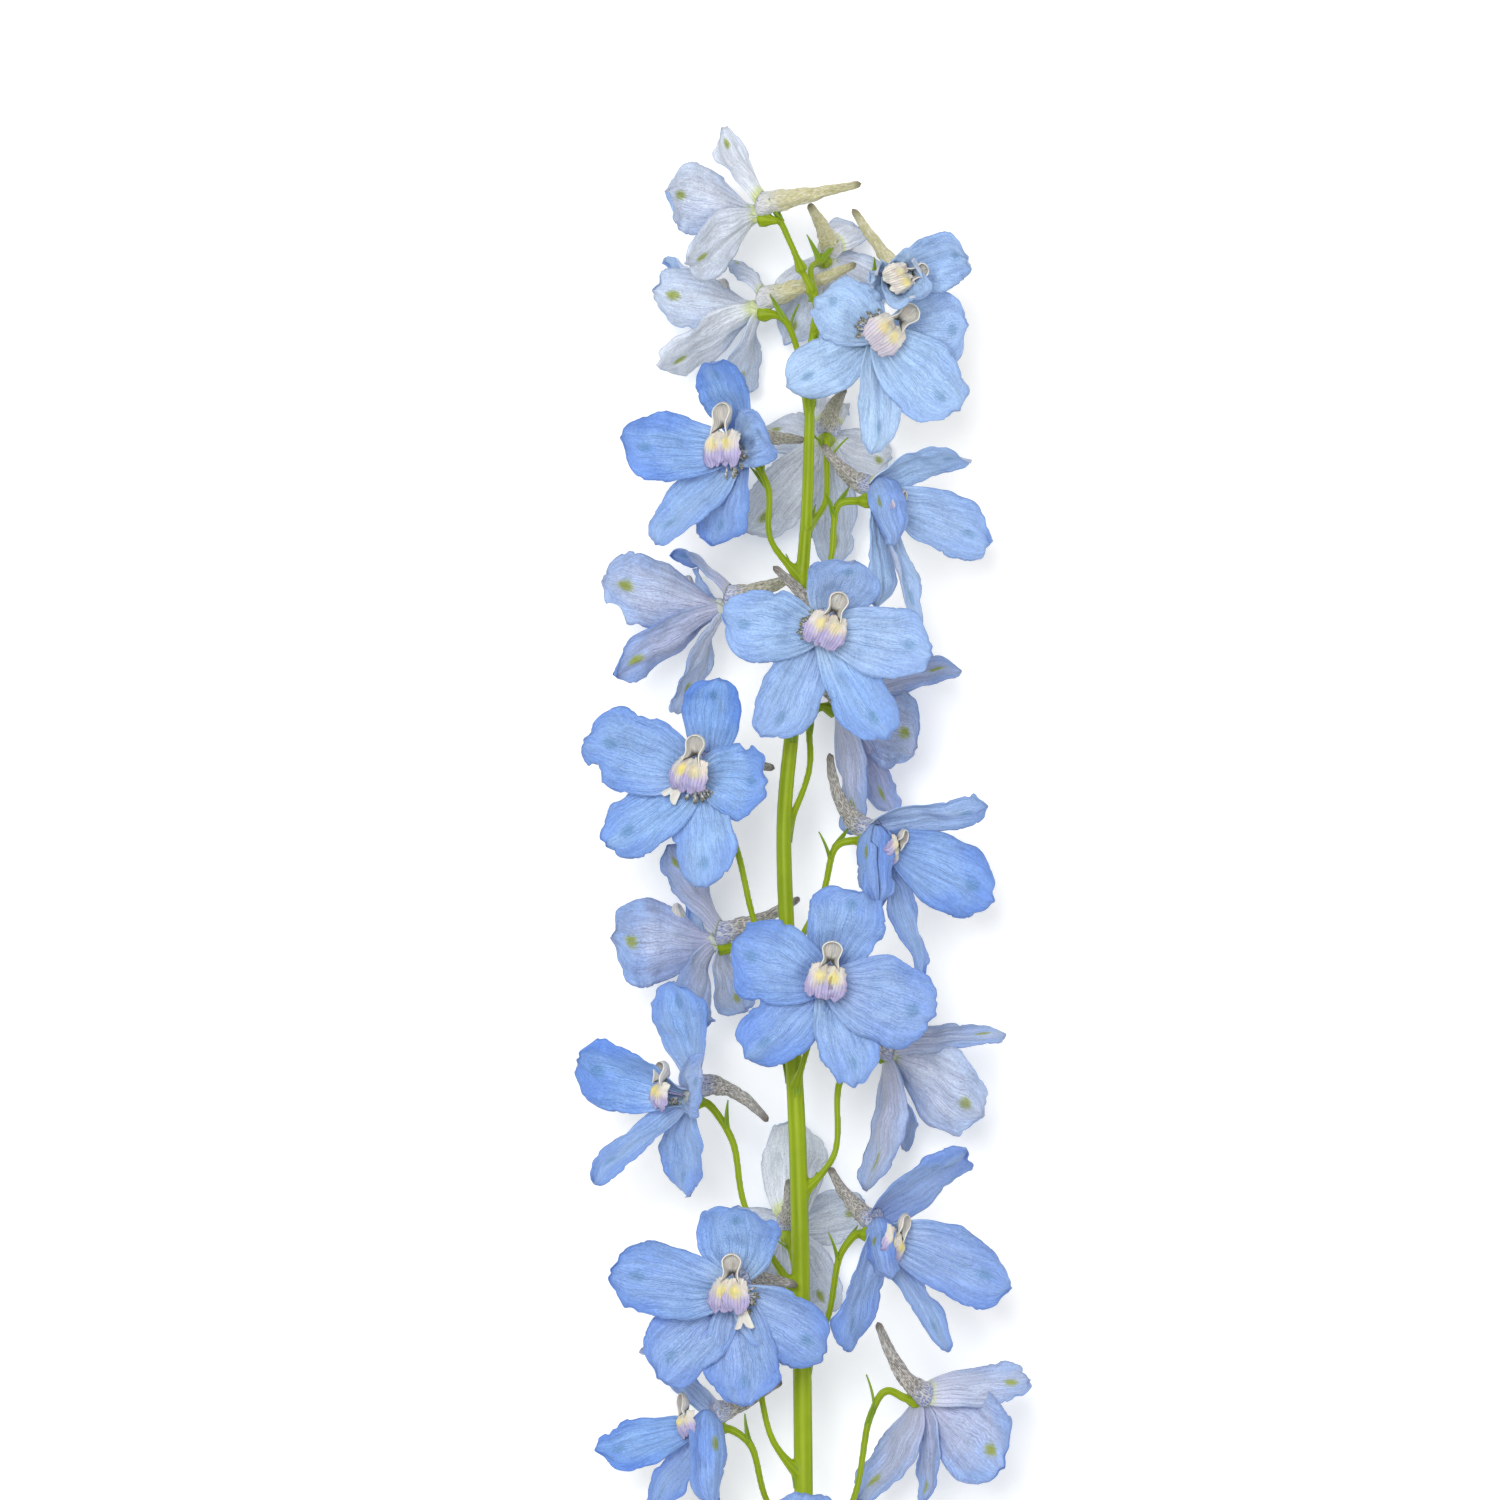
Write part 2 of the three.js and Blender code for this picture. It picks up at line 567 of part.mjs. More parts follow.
/** How wide the bee opens: all the way in an open floret, less inside a trumpet. */
function squeeze(frame, floret) {
  const open = floret.sepals.map(([x, y, z]) => {
    const reach = new THREE.Vector3(x, y, z).normalize();
    return Math.sqrt(1 - reach.dot(frame.out) ** 2);
  });
  const mean = open.reduce((a, b) => a + b) / open.length;
  return THREE.MathUtils.clamp((mean - 0.35) / 0.55, 0.75, 1) * (floret.bee ?? 1);
}

/** The bee: two hooded upper petals and two lower lobes round a hollow throat, in one body. */
function bee(frame, floret) {
  const z = HUB.front + SEAT_GAP;
  const narrow = squeeze(frame, floret);
  const lean = THREE.MathUtils.degToRad(floret.roll ?? 0);
  const [c, s] = [Math.cos(lean), Math.sin(lean)];
  const hang = floret.sag ?? 0;
  const deep = floret.cover ? BEE.sunk : 1;
  const both = [...BEE.rim, ...BEE.rim.slice(1, -1).reverse().map(([x, y, rise]) => [-x, y, rise])];
  const outline = both.map(([x, y, rise]) => [(x * c - y * s) * narrow, (x * s + y * c) * narrow, rise]);
  const rings = [
    outline.map(([x, y]) => inFrame(frame, x * BEE.foot, y * BEE.foot, z)),
    outline.map(([x, y, rise]) => inFrame(frame, x, y - hang, z + rise * deep)),
    outline.map(([x, y, rise]) =>
      inFrame(frame, x * BEE.throat, y * BEE.throat - hang, z + (rise - BEE.depth) * deep),
    ),
  ];
  const sides = outline.length;
  const triangles = [];
  for (let i = 0; i < 2 * sides; i += sides)
    for (let k = 0; k < sides; k++) {
      const [a, b] = [i + k, i + ((k + 1) % sides)];
      triangles.push([a, b + sides, b], [a, a + sides, b + sides]);
    }
  const centre = 3 * sides;
  for (let k = 0; k < sides; k++) {
    const next = (k + 1) % sides;
    triangles.push([centre, 2 * sides + next, 2 * sides + k], [centre + 1, k, next]);
  }
  const throat = inFrame(frame, 0, -hang / 2, z + BEE.floor * deep);
  return solid([...rings.flat(), throat, inFrame(frame, 0, 0, z)], triangles);
}

// ---------------------------------------------------------------------------------------------
// The green stem, pedicels and bracts
// ---------------------------------------------------------------------------------------------
/** The place on the stem's axis, and its diameter there, at a height up the spike. */
function stemAt(y) {
  let i = 0;
  while (i < STEM.path.length - 2 && STEM.path[i + 1][1] < y) i++;
  const [a, b] = [STEM.path[i], STEM.path[i + 1]];
  const t = THREE.MathUtils.clamp((y - a[1]) / (b[1] - a[1]), 0, 1);
  return { point: vec(a).lerp(vec(b), t), diameter: mix(a[3], b[3], t) };
}

/** The main stem, square cut at its lower end. */
function mainStem() {
  const points = STEM.path.map(vec);
  return taperedTube(points, STEM.path.map((p) => p[3] / 2), STEM.sides);
}

/** The route of a pedicel from inside the stem to the back of its floret. */
function pedicelCurve(frame, floret) {
  const seat = inFrame(frame, 0, -RECEPTACLE.below, -HUB.back - SEAT_GAP);
  const neck = seat.clone().addScaledVector(frame.out, -RECEPTACLE.length - 1);
  const foot = floret.joint === null ? vec(STEM.path.at(-1)) : stemAt(floret.joint).point;
  const places = [foot, ...floret.way.map(vec), neck];
  return { curve: new THREE.CatmullRomCurve3(places, false, "centripetal"), seat };
}

/** A pedicel with its flared receptacle. */
function pedicel(frame, floret) {
  const { curve, seat } = pedicelCurve(frame, floret);
  const points = curve.getSpacedPoints(PEDICEL.steps);
  const radii = points.map((_, i) => {
    const t = i / PEDICEL.steps;
    return mix(mix(PEDICEL.foot, PEDICEL.waist, Math.min(1, t * 3)), PEDICEL.neck, t ** 4) / 2;
  });
  points.push(seat.clone().addScaledVector(frame.out, -RECEPTACLE.length * 0.5), seat);
  radii.push(PEDICEL.flare * 0.46, PEDICEL.flare / 2);
  return taperedTube(points, radii, PEDICEL.sides);
}

/** A thin pointed bract from a place along a direction, leaning outward. */
function bract(from, along, outward, length) {
  const end = from.clone().addScaledVector(along, length).addScaledVector(outward, length * BRACT.flare);
  const radius = BRACT.width / 2;
  const across = along.clone().cross(outward);
  return taperedTube([from, end], [radius, radius * 0.5], 3, BRACT.thick / BRACT.width, across);
}

/** The bract under a pedicel and the two bracteoles near its top. */
function bractsOf(frame, floret) {
  const { curve } = pedicelCurve(frame, floret);
  const made = [];
  const up = new THREE.Vector3(0, 1, 0);
  if (floret.joint !== null) {
    const out = curve.getPoint(0.35).sub(curve.getPoint(0)).setY(0).normalize();
    const inside = stemAt(floret.joint).diameter * 0.35;
    const from = curve.getPoint(0).addScaledVector(out, inside).addScaledVector(up, -1.2);
    made.push(bract(from, up, out, BRACT.length));
  }
  BRACT.places.forEach((t, i) => {
    const along = curve.getTangent(t);
    const outward = up.clone().multiplyScalar(1.5).addScaledVector(frame.right, i ? 1.2 : -1.2);
    outward.addScaledVector(along, -outward.dot(along)).normalize();
    made.push(bract(curve.getPoint(t), along, outward, BRACT.bracteole));
  });
  return made;
}

// ---------------------------------------------------------------------------------------------
// The whole spike
// ---------------------------------------------------------------------------------------------
const GREEN = { color: 0x86ab2a, roughness: 0.55, metalness: 0 };
const BLUE = { color: 0x9bbef0, roughness: 0.6, metalness: 0 };
const PALE = { color: 0xe9e2ea, roughness: 0.6, metalness: 0 };

/** A body without what would be under the surface that the spike lies on. */
function trimmed(body) {
  return cleaned(largest(body.trimByPlane([0, 0, 1], -REST_DEPTH)));
}

/** A floret: a group at its heart that holds the blue flower and the pale bee in front of it. */
function floretGroup(floret, i) {
  const frame = frameOf(floret);
  const number = String(i + 1).padStart(2, "0");
  const blue = trimmed(flower(frame, floret, i + 1));
  const grown = floret.sepals.map((_, k) => sepal(frame, floret, k, i + 1, SEAT_GAP));
  const cleared = trimmed(bee(frame, floret)).subtract(wasm.Manifold.union(grown));
  const pale = cleaned(largest(cleared));
  const group = new THREE.Group();
  group.add(meshOf("floret_" + number, blue, BLUE, frame.heart));
  group.add(meshOf("bee_" + number, pale, PALE, frame.heart));
  group.position.copy(frame.heart);
  return group;
}

/** The stem with every pedicel and bract in one body. */
function stemMesh() {
  const green = [mainStem()];
  FLORETS.forEach((floret) => {
    const frame = frameOf(floret);
    green.push(pedicel(frame, floret), ...bractsOf(frame, floret));
  });
  return meshOf("stem", trimmed(wasm.Manifold.union(green)), GREEN);
}

/** The whole spike, with its middle over the origin and its lowest sepals on the surface. */
function buildSpike() {
  const spike = new THREE.Group();
  spike.name = "delphinium_flower_spike";
  spike.add(stemMesh(), ...FLORETS.map(floretGroup));
  spike.position.set(-CENTRE.x, -CENTRE.y, REST_DEPTH);
  return spike;
}

export default buildSpike();
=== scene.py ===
"""A cut delphinium spike lying on a pale surface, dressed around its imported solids."""

import json
import logging
import math
from dataclasses import dataclass, field
from enum import Enum
from typing import Any, Callable, Iterable, Sequence, Union

import bmesh
import bpy
from mathutils import Matrix, Vector, noise
from mathutils.kdtree import KDTree

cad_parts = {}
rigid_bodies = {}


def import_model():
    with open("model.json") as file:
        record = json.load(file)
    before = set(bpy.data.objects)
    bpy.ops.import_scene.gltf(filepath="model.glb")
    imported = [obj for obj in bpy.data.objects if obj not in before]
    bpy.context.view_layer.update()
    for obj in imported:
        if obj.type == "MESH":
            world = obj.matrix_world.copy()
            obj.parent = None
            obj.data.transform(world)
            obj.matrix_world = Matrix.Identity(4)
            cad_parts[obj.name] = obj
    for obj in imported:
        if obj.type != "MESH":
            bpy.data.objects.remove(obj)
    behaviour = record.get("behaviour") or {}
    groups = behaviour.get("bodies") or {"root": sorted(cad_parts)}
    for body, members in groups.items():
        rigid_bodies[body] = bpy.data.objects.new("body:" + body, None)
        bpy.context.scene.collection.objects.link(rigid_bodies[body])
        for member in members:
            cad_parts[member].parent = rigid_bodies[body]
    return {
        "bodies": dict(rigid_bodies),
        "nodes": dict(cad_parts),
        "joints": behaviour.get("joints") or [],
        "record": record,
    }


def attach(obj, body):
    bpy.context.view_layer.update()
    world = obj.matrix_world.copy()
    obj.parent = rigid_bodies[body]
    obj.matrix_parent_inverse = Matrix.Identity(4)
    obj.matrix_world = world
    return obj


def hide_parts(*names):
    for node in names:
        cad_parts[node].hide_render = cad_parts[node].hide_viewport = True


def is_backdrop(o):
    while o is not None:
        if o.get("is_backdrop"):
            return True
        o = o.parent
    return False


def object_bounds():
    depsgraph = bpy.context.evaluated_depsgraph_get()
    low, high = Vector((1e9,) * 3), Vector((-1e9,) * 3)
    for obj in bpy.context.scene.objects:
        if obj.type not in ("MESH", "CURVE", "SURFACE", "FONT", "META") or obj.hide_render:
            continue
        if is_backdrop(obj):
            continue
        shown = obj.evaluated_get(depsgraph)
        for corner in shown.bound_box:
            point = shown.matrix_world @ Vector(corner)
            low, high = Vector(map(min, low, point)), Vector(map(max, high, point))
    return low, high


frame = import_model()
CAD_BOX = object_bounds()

LOG = logging.getLogger("spike")
BODY = "root"  # the spike has no joint, so everything rides on one body
MM = 0.001
REST_DEPTH = 27.0  # from the stem's axis down to the surface
CENTRE = (1.0, 187.5)  # the middle of the whole spike, over the origin
LIFT_FROM, LIFT_TO = 1.4, 0.25  # heights over which a petal bends to lie on the surface
JOIN = 2e-6  # vertices closer than this are one, in metres

Colour = tuple[float, float, float, float]
Triple = tuple[float, float, float]
Surface = Callable[[float, float], Vector]
Mark = Callable[[float, float], Triple]


class Slot(Enum):
    """The record's material slots."""

    GREEN = "green_stem"
    BLUE = "blue_sepals"
    PALE = "pale_petals"


class Layer(Enum):
    """What a vertex tells the finishes, as the names of mesh attributes."""

    PATTERN = "pattern"  # along, across, and a number for each sheet
    TONE = "tone"  # how pale, how mauve, how shaded


# ---------------------------------------------------------------------------------------------
# Numbers and colours
# ---------------------------------------------------------------------------------------------
def mix(a: float, b: float, t: float) -> float:
    """The value a share t of the way from a to b."""
    return a + (b - a) * t


def clamp(x: float, low: float = 0.0, high: float = 1.0) -> float:
    """The nearest value inside a range."""
    return max(low, min(high, x))


def ramp(x: float, start: float, end: float) -> float:
    """A smooth step from 0 at start to 1 at end."""
    t = clamp((x - start) / (end - start))
    return t * t * (3 - 2 * t)


def draw(seed: float) -> float:
    """A repeatable draw from 0 to 1."""
    s = math.sin(seed * 12.9898) * 43758.5453
    return s - math.floor(s)


def rgb(red: int, green: int, blue: int) -> Colour:
    """A colour from display values of 0 to 255, as the shaders want it."""
    shares = (v / 255 for v in (red, green, blue))
    linear = [v / 12.92 if v <= 0.04045 else ((v + 0.055) / 1.055) ** 2.4 for v in shares]
    return (linear[0], linear[1], linear[2], 1.0)


def in_scene(place: Vector) -> Vector:
    """A place on the spike, measured in millimetres from the cut end, as metres in the scene."""
    return Vector((place.x - CENTRE[0], place.y - CENTRE[1], place.z + REST_DEPTH)) * MM


def resting(place: Vector) -> Vector:
    """The same place, lifted where a soft petal would sink into the surface below."""
    height = place.z + REST_DEPTH
    if height >= LIFT_FROM:
        return place
    span = LIFT_FROM - LIFT_TO
    lifted = LIFT_TO + span * math.exp((height - LIFT_FROM) / span)
    return Vector((place.x, place.y, lifted - REST_DEPTH))


def held(place: Vector) -> Vector:
    """The nearest place inside the solids' box."""
    low, high = CAD_BOX
    return Vector(clamp(p, a, b) for p, a, b in zip(place, low, high))


# ---------------------------------------------------------------------------------------------
# Shaders written as expressions
# ---------------------------------------------------------------------------------------------
class Value:
    """A shader socket on which Python's operators add Math nodes."""

    def __init__(self, shader: "Shader", socket: bpy.types.NodeSocket) -> None:
        """Wraps a socket of a shader."""
        self.shader = shader
        self.socket = socket

    def _math(self, operation: str, *values: Any) -> "Value":
        """A Math node of some operation on values."""
        node = self.shader.node("ShaderNodeMath", {"operation": operation}, dict(enumerate(values)))
        return Value(self.shader, node.outputs[0])

    def __add__(self, other: Any) -> "Value":
        """The sum."""
        return self._math("ADD", self, other)

    def __radd__(self, other: Any) -> "Value":
        """The sum, other way round."""
        return self._math("ADD", other, self)

    def __sub__(self, other: Any) -> "Value":
        """The difference."""
        return self._math("SUBTRACT", self, other)

    def __rsub__(self, other: Any) -> "Value":
        """The difference, other way round."""
        return self._math("SUBTRACT", other, self)

    def __mul__(self, other: Any) -> "Value":
        """The product."""
        return self._math("MULTIPLY", self, other)

    def __rmul__(self, other: Any) -> "Value":
        """The product, other way round."""
        return self._math("MULTIPLY", other, self)

    def __truediv__(self, other: Any) -> "Value":
        """The quotient."""
        return self._math("DIVIDE", self, other)

    def __pow__(self, other: Any) -> "Value":
        """The power."""
        return self._math("POWER", self, other)

    def size(self) -> "Value":
        """The absolute value."""
        return self._math("ABSOLUTE", self)

    def most(self, other: Any) -> "Value":
        """The larger of two values."""
        return self._math("MAXIMUM", self, other)

    def sine(self) -> "Value":
        """The sine."""
        return self._math("SINE", self)

    def line(self, width: float) -> "Value":
        """1 on each whole number, falling to 0 at a width on either side."""
        return 1 - self._math("PINGPONG", self, 0.5).ramp(0.0, width)

    def hill(self, middle: float, spread: float) -> "Value":
        """1 at the middle, falling like a bell over a spread."""
        away = (self - middle) / spread
        return self._math("EXPONENT", 0 - away * away)

    def ramp(self, start: float, end: float, low: float = 0.0, high: float = 1.0) -> "Value":
        """A smooth step from low at start to high at end."""
        node = self.shader.node(
            "ShaderNodeMapRange",
            {"interpolation_type": "SMOOTHSTEP"},
            {0: self, 1: start, 2: end, 3: low, 4: high},
        )
        return Value(self.shader, node.outputs[0])


Input = Union[Value, bpy.types.NodeSocket, float, Sequence[float]]


class Shader:
    """One material's nodes, ending in a Principled surface."""

    def __init__(self, name: str, **constants: Any) -> None:
        """Makes the material.

        Args:
            name: the material's name.
            constants: values for the surface's own sockets, with _ for a space.
        """
        self.material = bpy.data.materials.new(name)
        self.material.use_nodes = True
        self.tree = self.material.node_tree
        self.tree.nodes.clear()
        self.surface = self.node("ShaderNodeBsdfPrincipled")
        output = self.node("ShaderNodeOutputMaterial")
        self.tree.links.new(self.surface.outputs[0], output.inputs["Surface"])
        for socket, value in constants.items():
            self.surface.inputs[socket.replace("_", " ")].default_value = value

    def node(
        self,
        kind: str,
        settings: dict[str, Any] | None = None,
        inputs: dict[Any, Any] | None = None,
    ) -> bpy.types.Node:
        """Adds a node.

        Args:
            kind: the node's type.
            settings: its properties, set first.
            inputs: values or links for its sockets, by name or number.

        Returns:
            The new node.
        """
        made = self.tree.nodes.new(kind)
        for name, value in (settings or {}).items():
            setattr(made, name, value)
        for name, value in (inputs or {}).items():
            self.feed(made.inputs[name], value)
        return made

    def feed(self, socket: bpy.types.NodeSocket, value: Input) -> None:
        """Gives a socket a link or a plain value."""
        if isinstance(value, Value):
            value = value.socket
        if isinstance(value, bpy.types.NodeSocket):
            self.tree.links.new(value, socket)
        else:
            socket.default_value = value

    def attribute(self, layer: Layer) -> tuple[bpy.types.NodeSocket, Value, Value, Value]:
        """A mesh attribute, whole and as its three numbers."""
        node = self.node("ShaderNodeAttribute", {"attribute_name": layer.value})
        parts = self.node("ShaderNodeSeparateXYZ", None, {0: node.outputs["Vector"]})
        x, y, z = (Value(self, out) for out in parts.outputs)
        return node.outputs["Vector"], x, y, z

    def object_place(self) -> bpy.types.NodeSocket:
        """The place on the piece in metres."""
        return self.node("ShaderNodeTexCoord").outputs["Object"]

    def scaled(self, vector: bpy.types.NodeSocket, by: Triple) -> bpy.types.NodeSocket:
        """A vector with each part scaled."""
        node = self.node("ShaderNodeVectorMath", {"operation": "MULTIPLY"}, {0: vector, 1: by})
        return node.outputs[0]

    def scaled_by(self, vector: bpy.types.NodeSocket, by: Value) -> bpy.types.NodeSocket:
        """A colour made lighter or darker by a value."""
        node = self.node("ShaderNodeVectorMath", {"operation": "SCALE"}, {0: vector, "Scale": by})
        return node.outputs[0]

    def noise(self, vector: Input, scale: float, detail: float = 2.0) -> Value:
        """Soft noise from 0 to 1."""
        node = self.node("ShaderNodeTexNoise", None, {"Vector": vector, "Scale": scale, "Detail": detail})
        return Value(self, node.outputs[0])

    def cells(self, vector: Input, scale: float) -> Value:
        """The distance from the borders of random cells."""
        node = self.node(
            "ShaderNodeTexVoronoi",
            {"feature": "DISTANCE_TO_EDGE"},
            {"Vector": vector, "Scale": scale},
        )
        return Value(self, node.outputs[0])

    def blend(self, share: Input, first: Input, second: Input) -> bpy.types.NodeSocket:
        """A colour a share of the way from the first to the second."""
        node = self.node("ShaderNodeMix", {"data_type": "RGBA"}, {0: share, 6: first, 7: second})
        return node.outputs[2]

    def relief(self, height: Value, depth_mm: float, strength: float = 1.0) -> None:
        """Raises the surface by a height, as a bump."""
        bump = self.node(
            "ShaderNodeBump", None, {"Height": height, "Distance": depth_mm * MM, "Strength": strength}
        )
        self.tree.links.new(bump.outputs[0], self.surface.inputs["Normal"])

    def paint(self, colour: Input, roughness: Input) -> bpy.types.Material:
        """Gives the surface its colour and roughness, and returns the finished material."""
        self.feed(self.surface.inputs["Base Color"], colour)
        self.feed(self.surface.inputs["Roughness"], roughness)
        return self.material


# ---------------------------------------------------------------------------------------------
# Finishes
# ---------------------------------------------------------------------------------------------
@dataclass(frozen=True)
class SepalSkin:
    """A face of a sepal: forking veins, a deeper margin, a spot near the tip, and painted shade and light at its
    base, on its crinkles and along its edge.
    """

    name: str
    middle: Colour
    margin: Colour
    base: Colour
    deep: Colour  # painted shade at the base of a sepal deep in a throat
    faded: Colour  # toward which a young floret's colour goes
    mauve: Colour
    vein: Colour
    vein_share: float
    spot: Colour
    spot_share: float
    spot_length: float  # as a share of the sepal's length
    spread: float  # how far the margin's colour reaches inward
    glow: Colour  # where the sepal leaves the stalk
    glow_share: float

    def material(self) -> bpy.types.Material:
        """Builds the finish."""
        shader = Shader(self.name, Subsurface_Weight=0.2, Subsurface_Scale=0.0006)
        shader.surface.inputs["Subsurface Radius"].default_value = (0.7, 0.85, 1.0)
        shader.surface.inputs["Sheen Weight"].default_value = 0.06
        pattern, along, across, _ = shader.attribute(Layer.PATTERN)
        _, pale, mauve, depth = shader.attribute(Layer.TONE)
        veins, sway = self.veins(shader, pattern, along, across)
        patch = shader.noise(shader.scaled(pattern, (2.6, 1.4, 5.1)), 1.0, 3.0)
        streak = shader.noise(shader.scaled(pattern, (1.6, 12.0, 2.7)), 1.0, 2.0)
        crinkle = shader.noise(shader.scaled(pattern, (38.0, 14.0, 4.3)), 1.0, 3.0)
        edge = across.size().ramp(0.3, 1.0) * 0.5 + along.ramp(0.4, 1.0) * 0.6 + (patch - 0.5) * 1.7
        edge = (edge + self.spread).ramp(0.0, 1.0)
        colour = shader.blend(edge, self.middle, self.margin)
        # near the base each sepal takes its base colour or, by the tone's third value, the deep colour, which is
        # painted throat shade
        near = (0.46 - along + (patch - 0.5) * 0.5 + (streak - 0.5) * 0.5).ramp(0.0, 0.42)
        colour = shader.blend(near, colour, shader.blend(depth, self.base, self.deep))
        colour = shader.blend(mauve * (0.3 + patch * 1.1) * (1 - edge * 0.5), colour, self.mauve)
        colour = shader.blend(pale, colour, self.faded)
        glow = (0.07 + pale * 0.1 + veins * 0.08 - along + (patch - 0.5) * 0.1).ramp(0.0, 0.14)
        colour = shader.blend(glow * self.glow_share, colour, self.glow)
        # a thin darker line along margin and tip: partly the margin's own deeper blue, partly painted edge shade
        rim = across.size().ramp(0.9, 1.0).most(along.ramp(0.955, 1.0)) * along.ramp(0.2, 0.5)
        lines = (veins * self.vein_share).most(rim * 0.4) * (1 - pale * 0.4)
        colour = shader.blend(lines, colour, self.vein)
        spot = along.hill(0.82, self.spot_length) * (across + (patch - 0.5) * 0.3).hill(0.0, 0.19)
        spot = spot * (0.35 + streak * 0.8 + veins * 0.5)
        colour = shader.blend(spot.ramp(0.12, 0.8) * self.spot_share, colour, self.spot)
        # painted light and shade of the crinkles, with streaks and patches that vary the tone at random
        light = 1.0 + (crinkle - 0.5) * 0.55 + (streak - 0.5) * 0.45 + (patch - 0.5) * 0.5
        colour = shader.scaled_by(colour, light)
        grain = shader.noise(shader.object_place(), 2600.0, 2.0)
        shader.relief(veins * -0.6 + crinkle * 1.4 + streak * 0.4 + grain * 0.3, 0.16)
        return shader.paint(colour, 0.5 + grain * 0.18)

    @staticmethod
    def veins(
        shader: Shader, pattern: bpy.types.NodeSocket, along: Value, across: Value
    ) -> tuple[Value, Value]:
        """Fine lines from the base that fork and run out to the margin.

        Args:
            shader: the material's nodes.
            pattern: along, across and the sheet's number.
            along: the share of the length.
            across: the share of the half width, from -1 to 1.

        Returns:
            How strongly a vein shows, and the slow sway that bends them.
        """
        sway = shader.noise(shader.scaled(pattern, (3.2, 1.3, 7.3)), 1.0, 3.0)
        wiggle = shader.noise(shader.scaled(pattern, (13.0, 6.0, 3.1)), 1.0, 2.0)
        fan = 1 - along * along * 0.5
        bent = across * fan + (sway - 0.5) * 0.3 + (wiggle - 0.5) * 0.05
        stems = (bent * 5.0).line(0.1) * along.ramp(0.6, 0.95, 1.0, 0.4)
        forks = (bent * 10.0 + sway).line(0.15) * along.ramp(0.1, 0.3) * along.ramp(0.75, 1.0, 0.9, 0.4)
        fine = (bent * 21.0 + sway * 2).line(0.25) * along.ramp(0.25, 0.45) * 0.5
        net = shader.cells(shader.scaled(pattern, (24.0, 8.0, 9.7)), 1.0).ramp(0.0, 0.08, 0.45, 0.0)
        broken = shader.noise(shader.scaled(pattern, (5.0, 4.0, 3.3)), 1.0, 2.0).ramp(0.3, 0.55, 0.45, 1.0)
        veins = stems.most(forks * 0.85).most(fine).most(net * along.ramp(0.2, 0.5))
        return veins * broken, sway


@dataclass(frozen=True)
class SpurSkin:
    """The finely wrinkled skin of a spur, grey or olive, mauve at its mouth and darker at its end; its raised
    wrinkles are paler, partly its own pale net and partly painted highlight, and its valleys hold painted shade.
    """

    grey: Colour = rgb(150, 146, 140)
    # paler raised wrinkles: partly the skin's own pale net, partly painted highlight
    ridge: Colour = rgb(220, 216, 208)
    # painted shade in the wrinkles' valleys
    valley_shade: Colour = rgb(66, 62, 56)
    olive: Colour = rgb(208, 203, 142)
    tip: Colour = rgb(112, 98, 78)
    mouth: Colour = rgb(150, 164, 210)
    young: Colour = rgb(208, 212, 220)  # the mouth of a young one

    def material(self) -> bpy.types.Material:
        """Builds the finish."""
        shader = Shader("spur_skin", Subsurface_Weight=0.12, Subsurface_Scale=0.0006)
        pattern, along, _, _ = shader.attribute(Layer.PATTERN)
        _, olive, _, _ = shader.attribute(Layer.TONE)
        place = shader.object_place()
        net = shader.cells(shader.scaled(pattern, (15.0, 5.5, 14.0)), 1.0).ramp(0.02, 0.2, 1.0, 0.0)
        strands = shader.noise(shader.scaled(pattern, (7.0, 8.0, 20.0)), 1.0, 4.0)
        grain = shader.noise(place, 1900.0, 3.0)
        wrinkle = net * 0.35 + strands * 0.6 + grain * 0.3
        colour = shader.blend(olive.ramp(0.15, 0.85), self.grey, self.olive)
        fresh = (along + (strands - 0.5) * 0.3).ramp(0.36, 0.14)
        colour = shader.blend(fresh, colour, shader.blend(olive.ramp(0.3, 0.8), self.mouth, self.young))
        # raised wrinkles lighter: painted highlight over the pale net
        colour = shader.blend(wrinkle.ramp(0.5, 0.86) * 0.75, colour, self.ridge)
        # painted shade in the valleys between wrinkles
        colour = shader.blend(wrinkle.ramp(0.5, 0.32) * 0.8 * (1 - olive * 0.5), colour, self.valley_shade)
        colour = shader.blend(along.ramp(0.9, 1.0) * 0.7, colour, self.tip)
        shader.relief(wrinkle, 0.34)
        return shader.paint(colour, 0.55 + strands * 0.2)


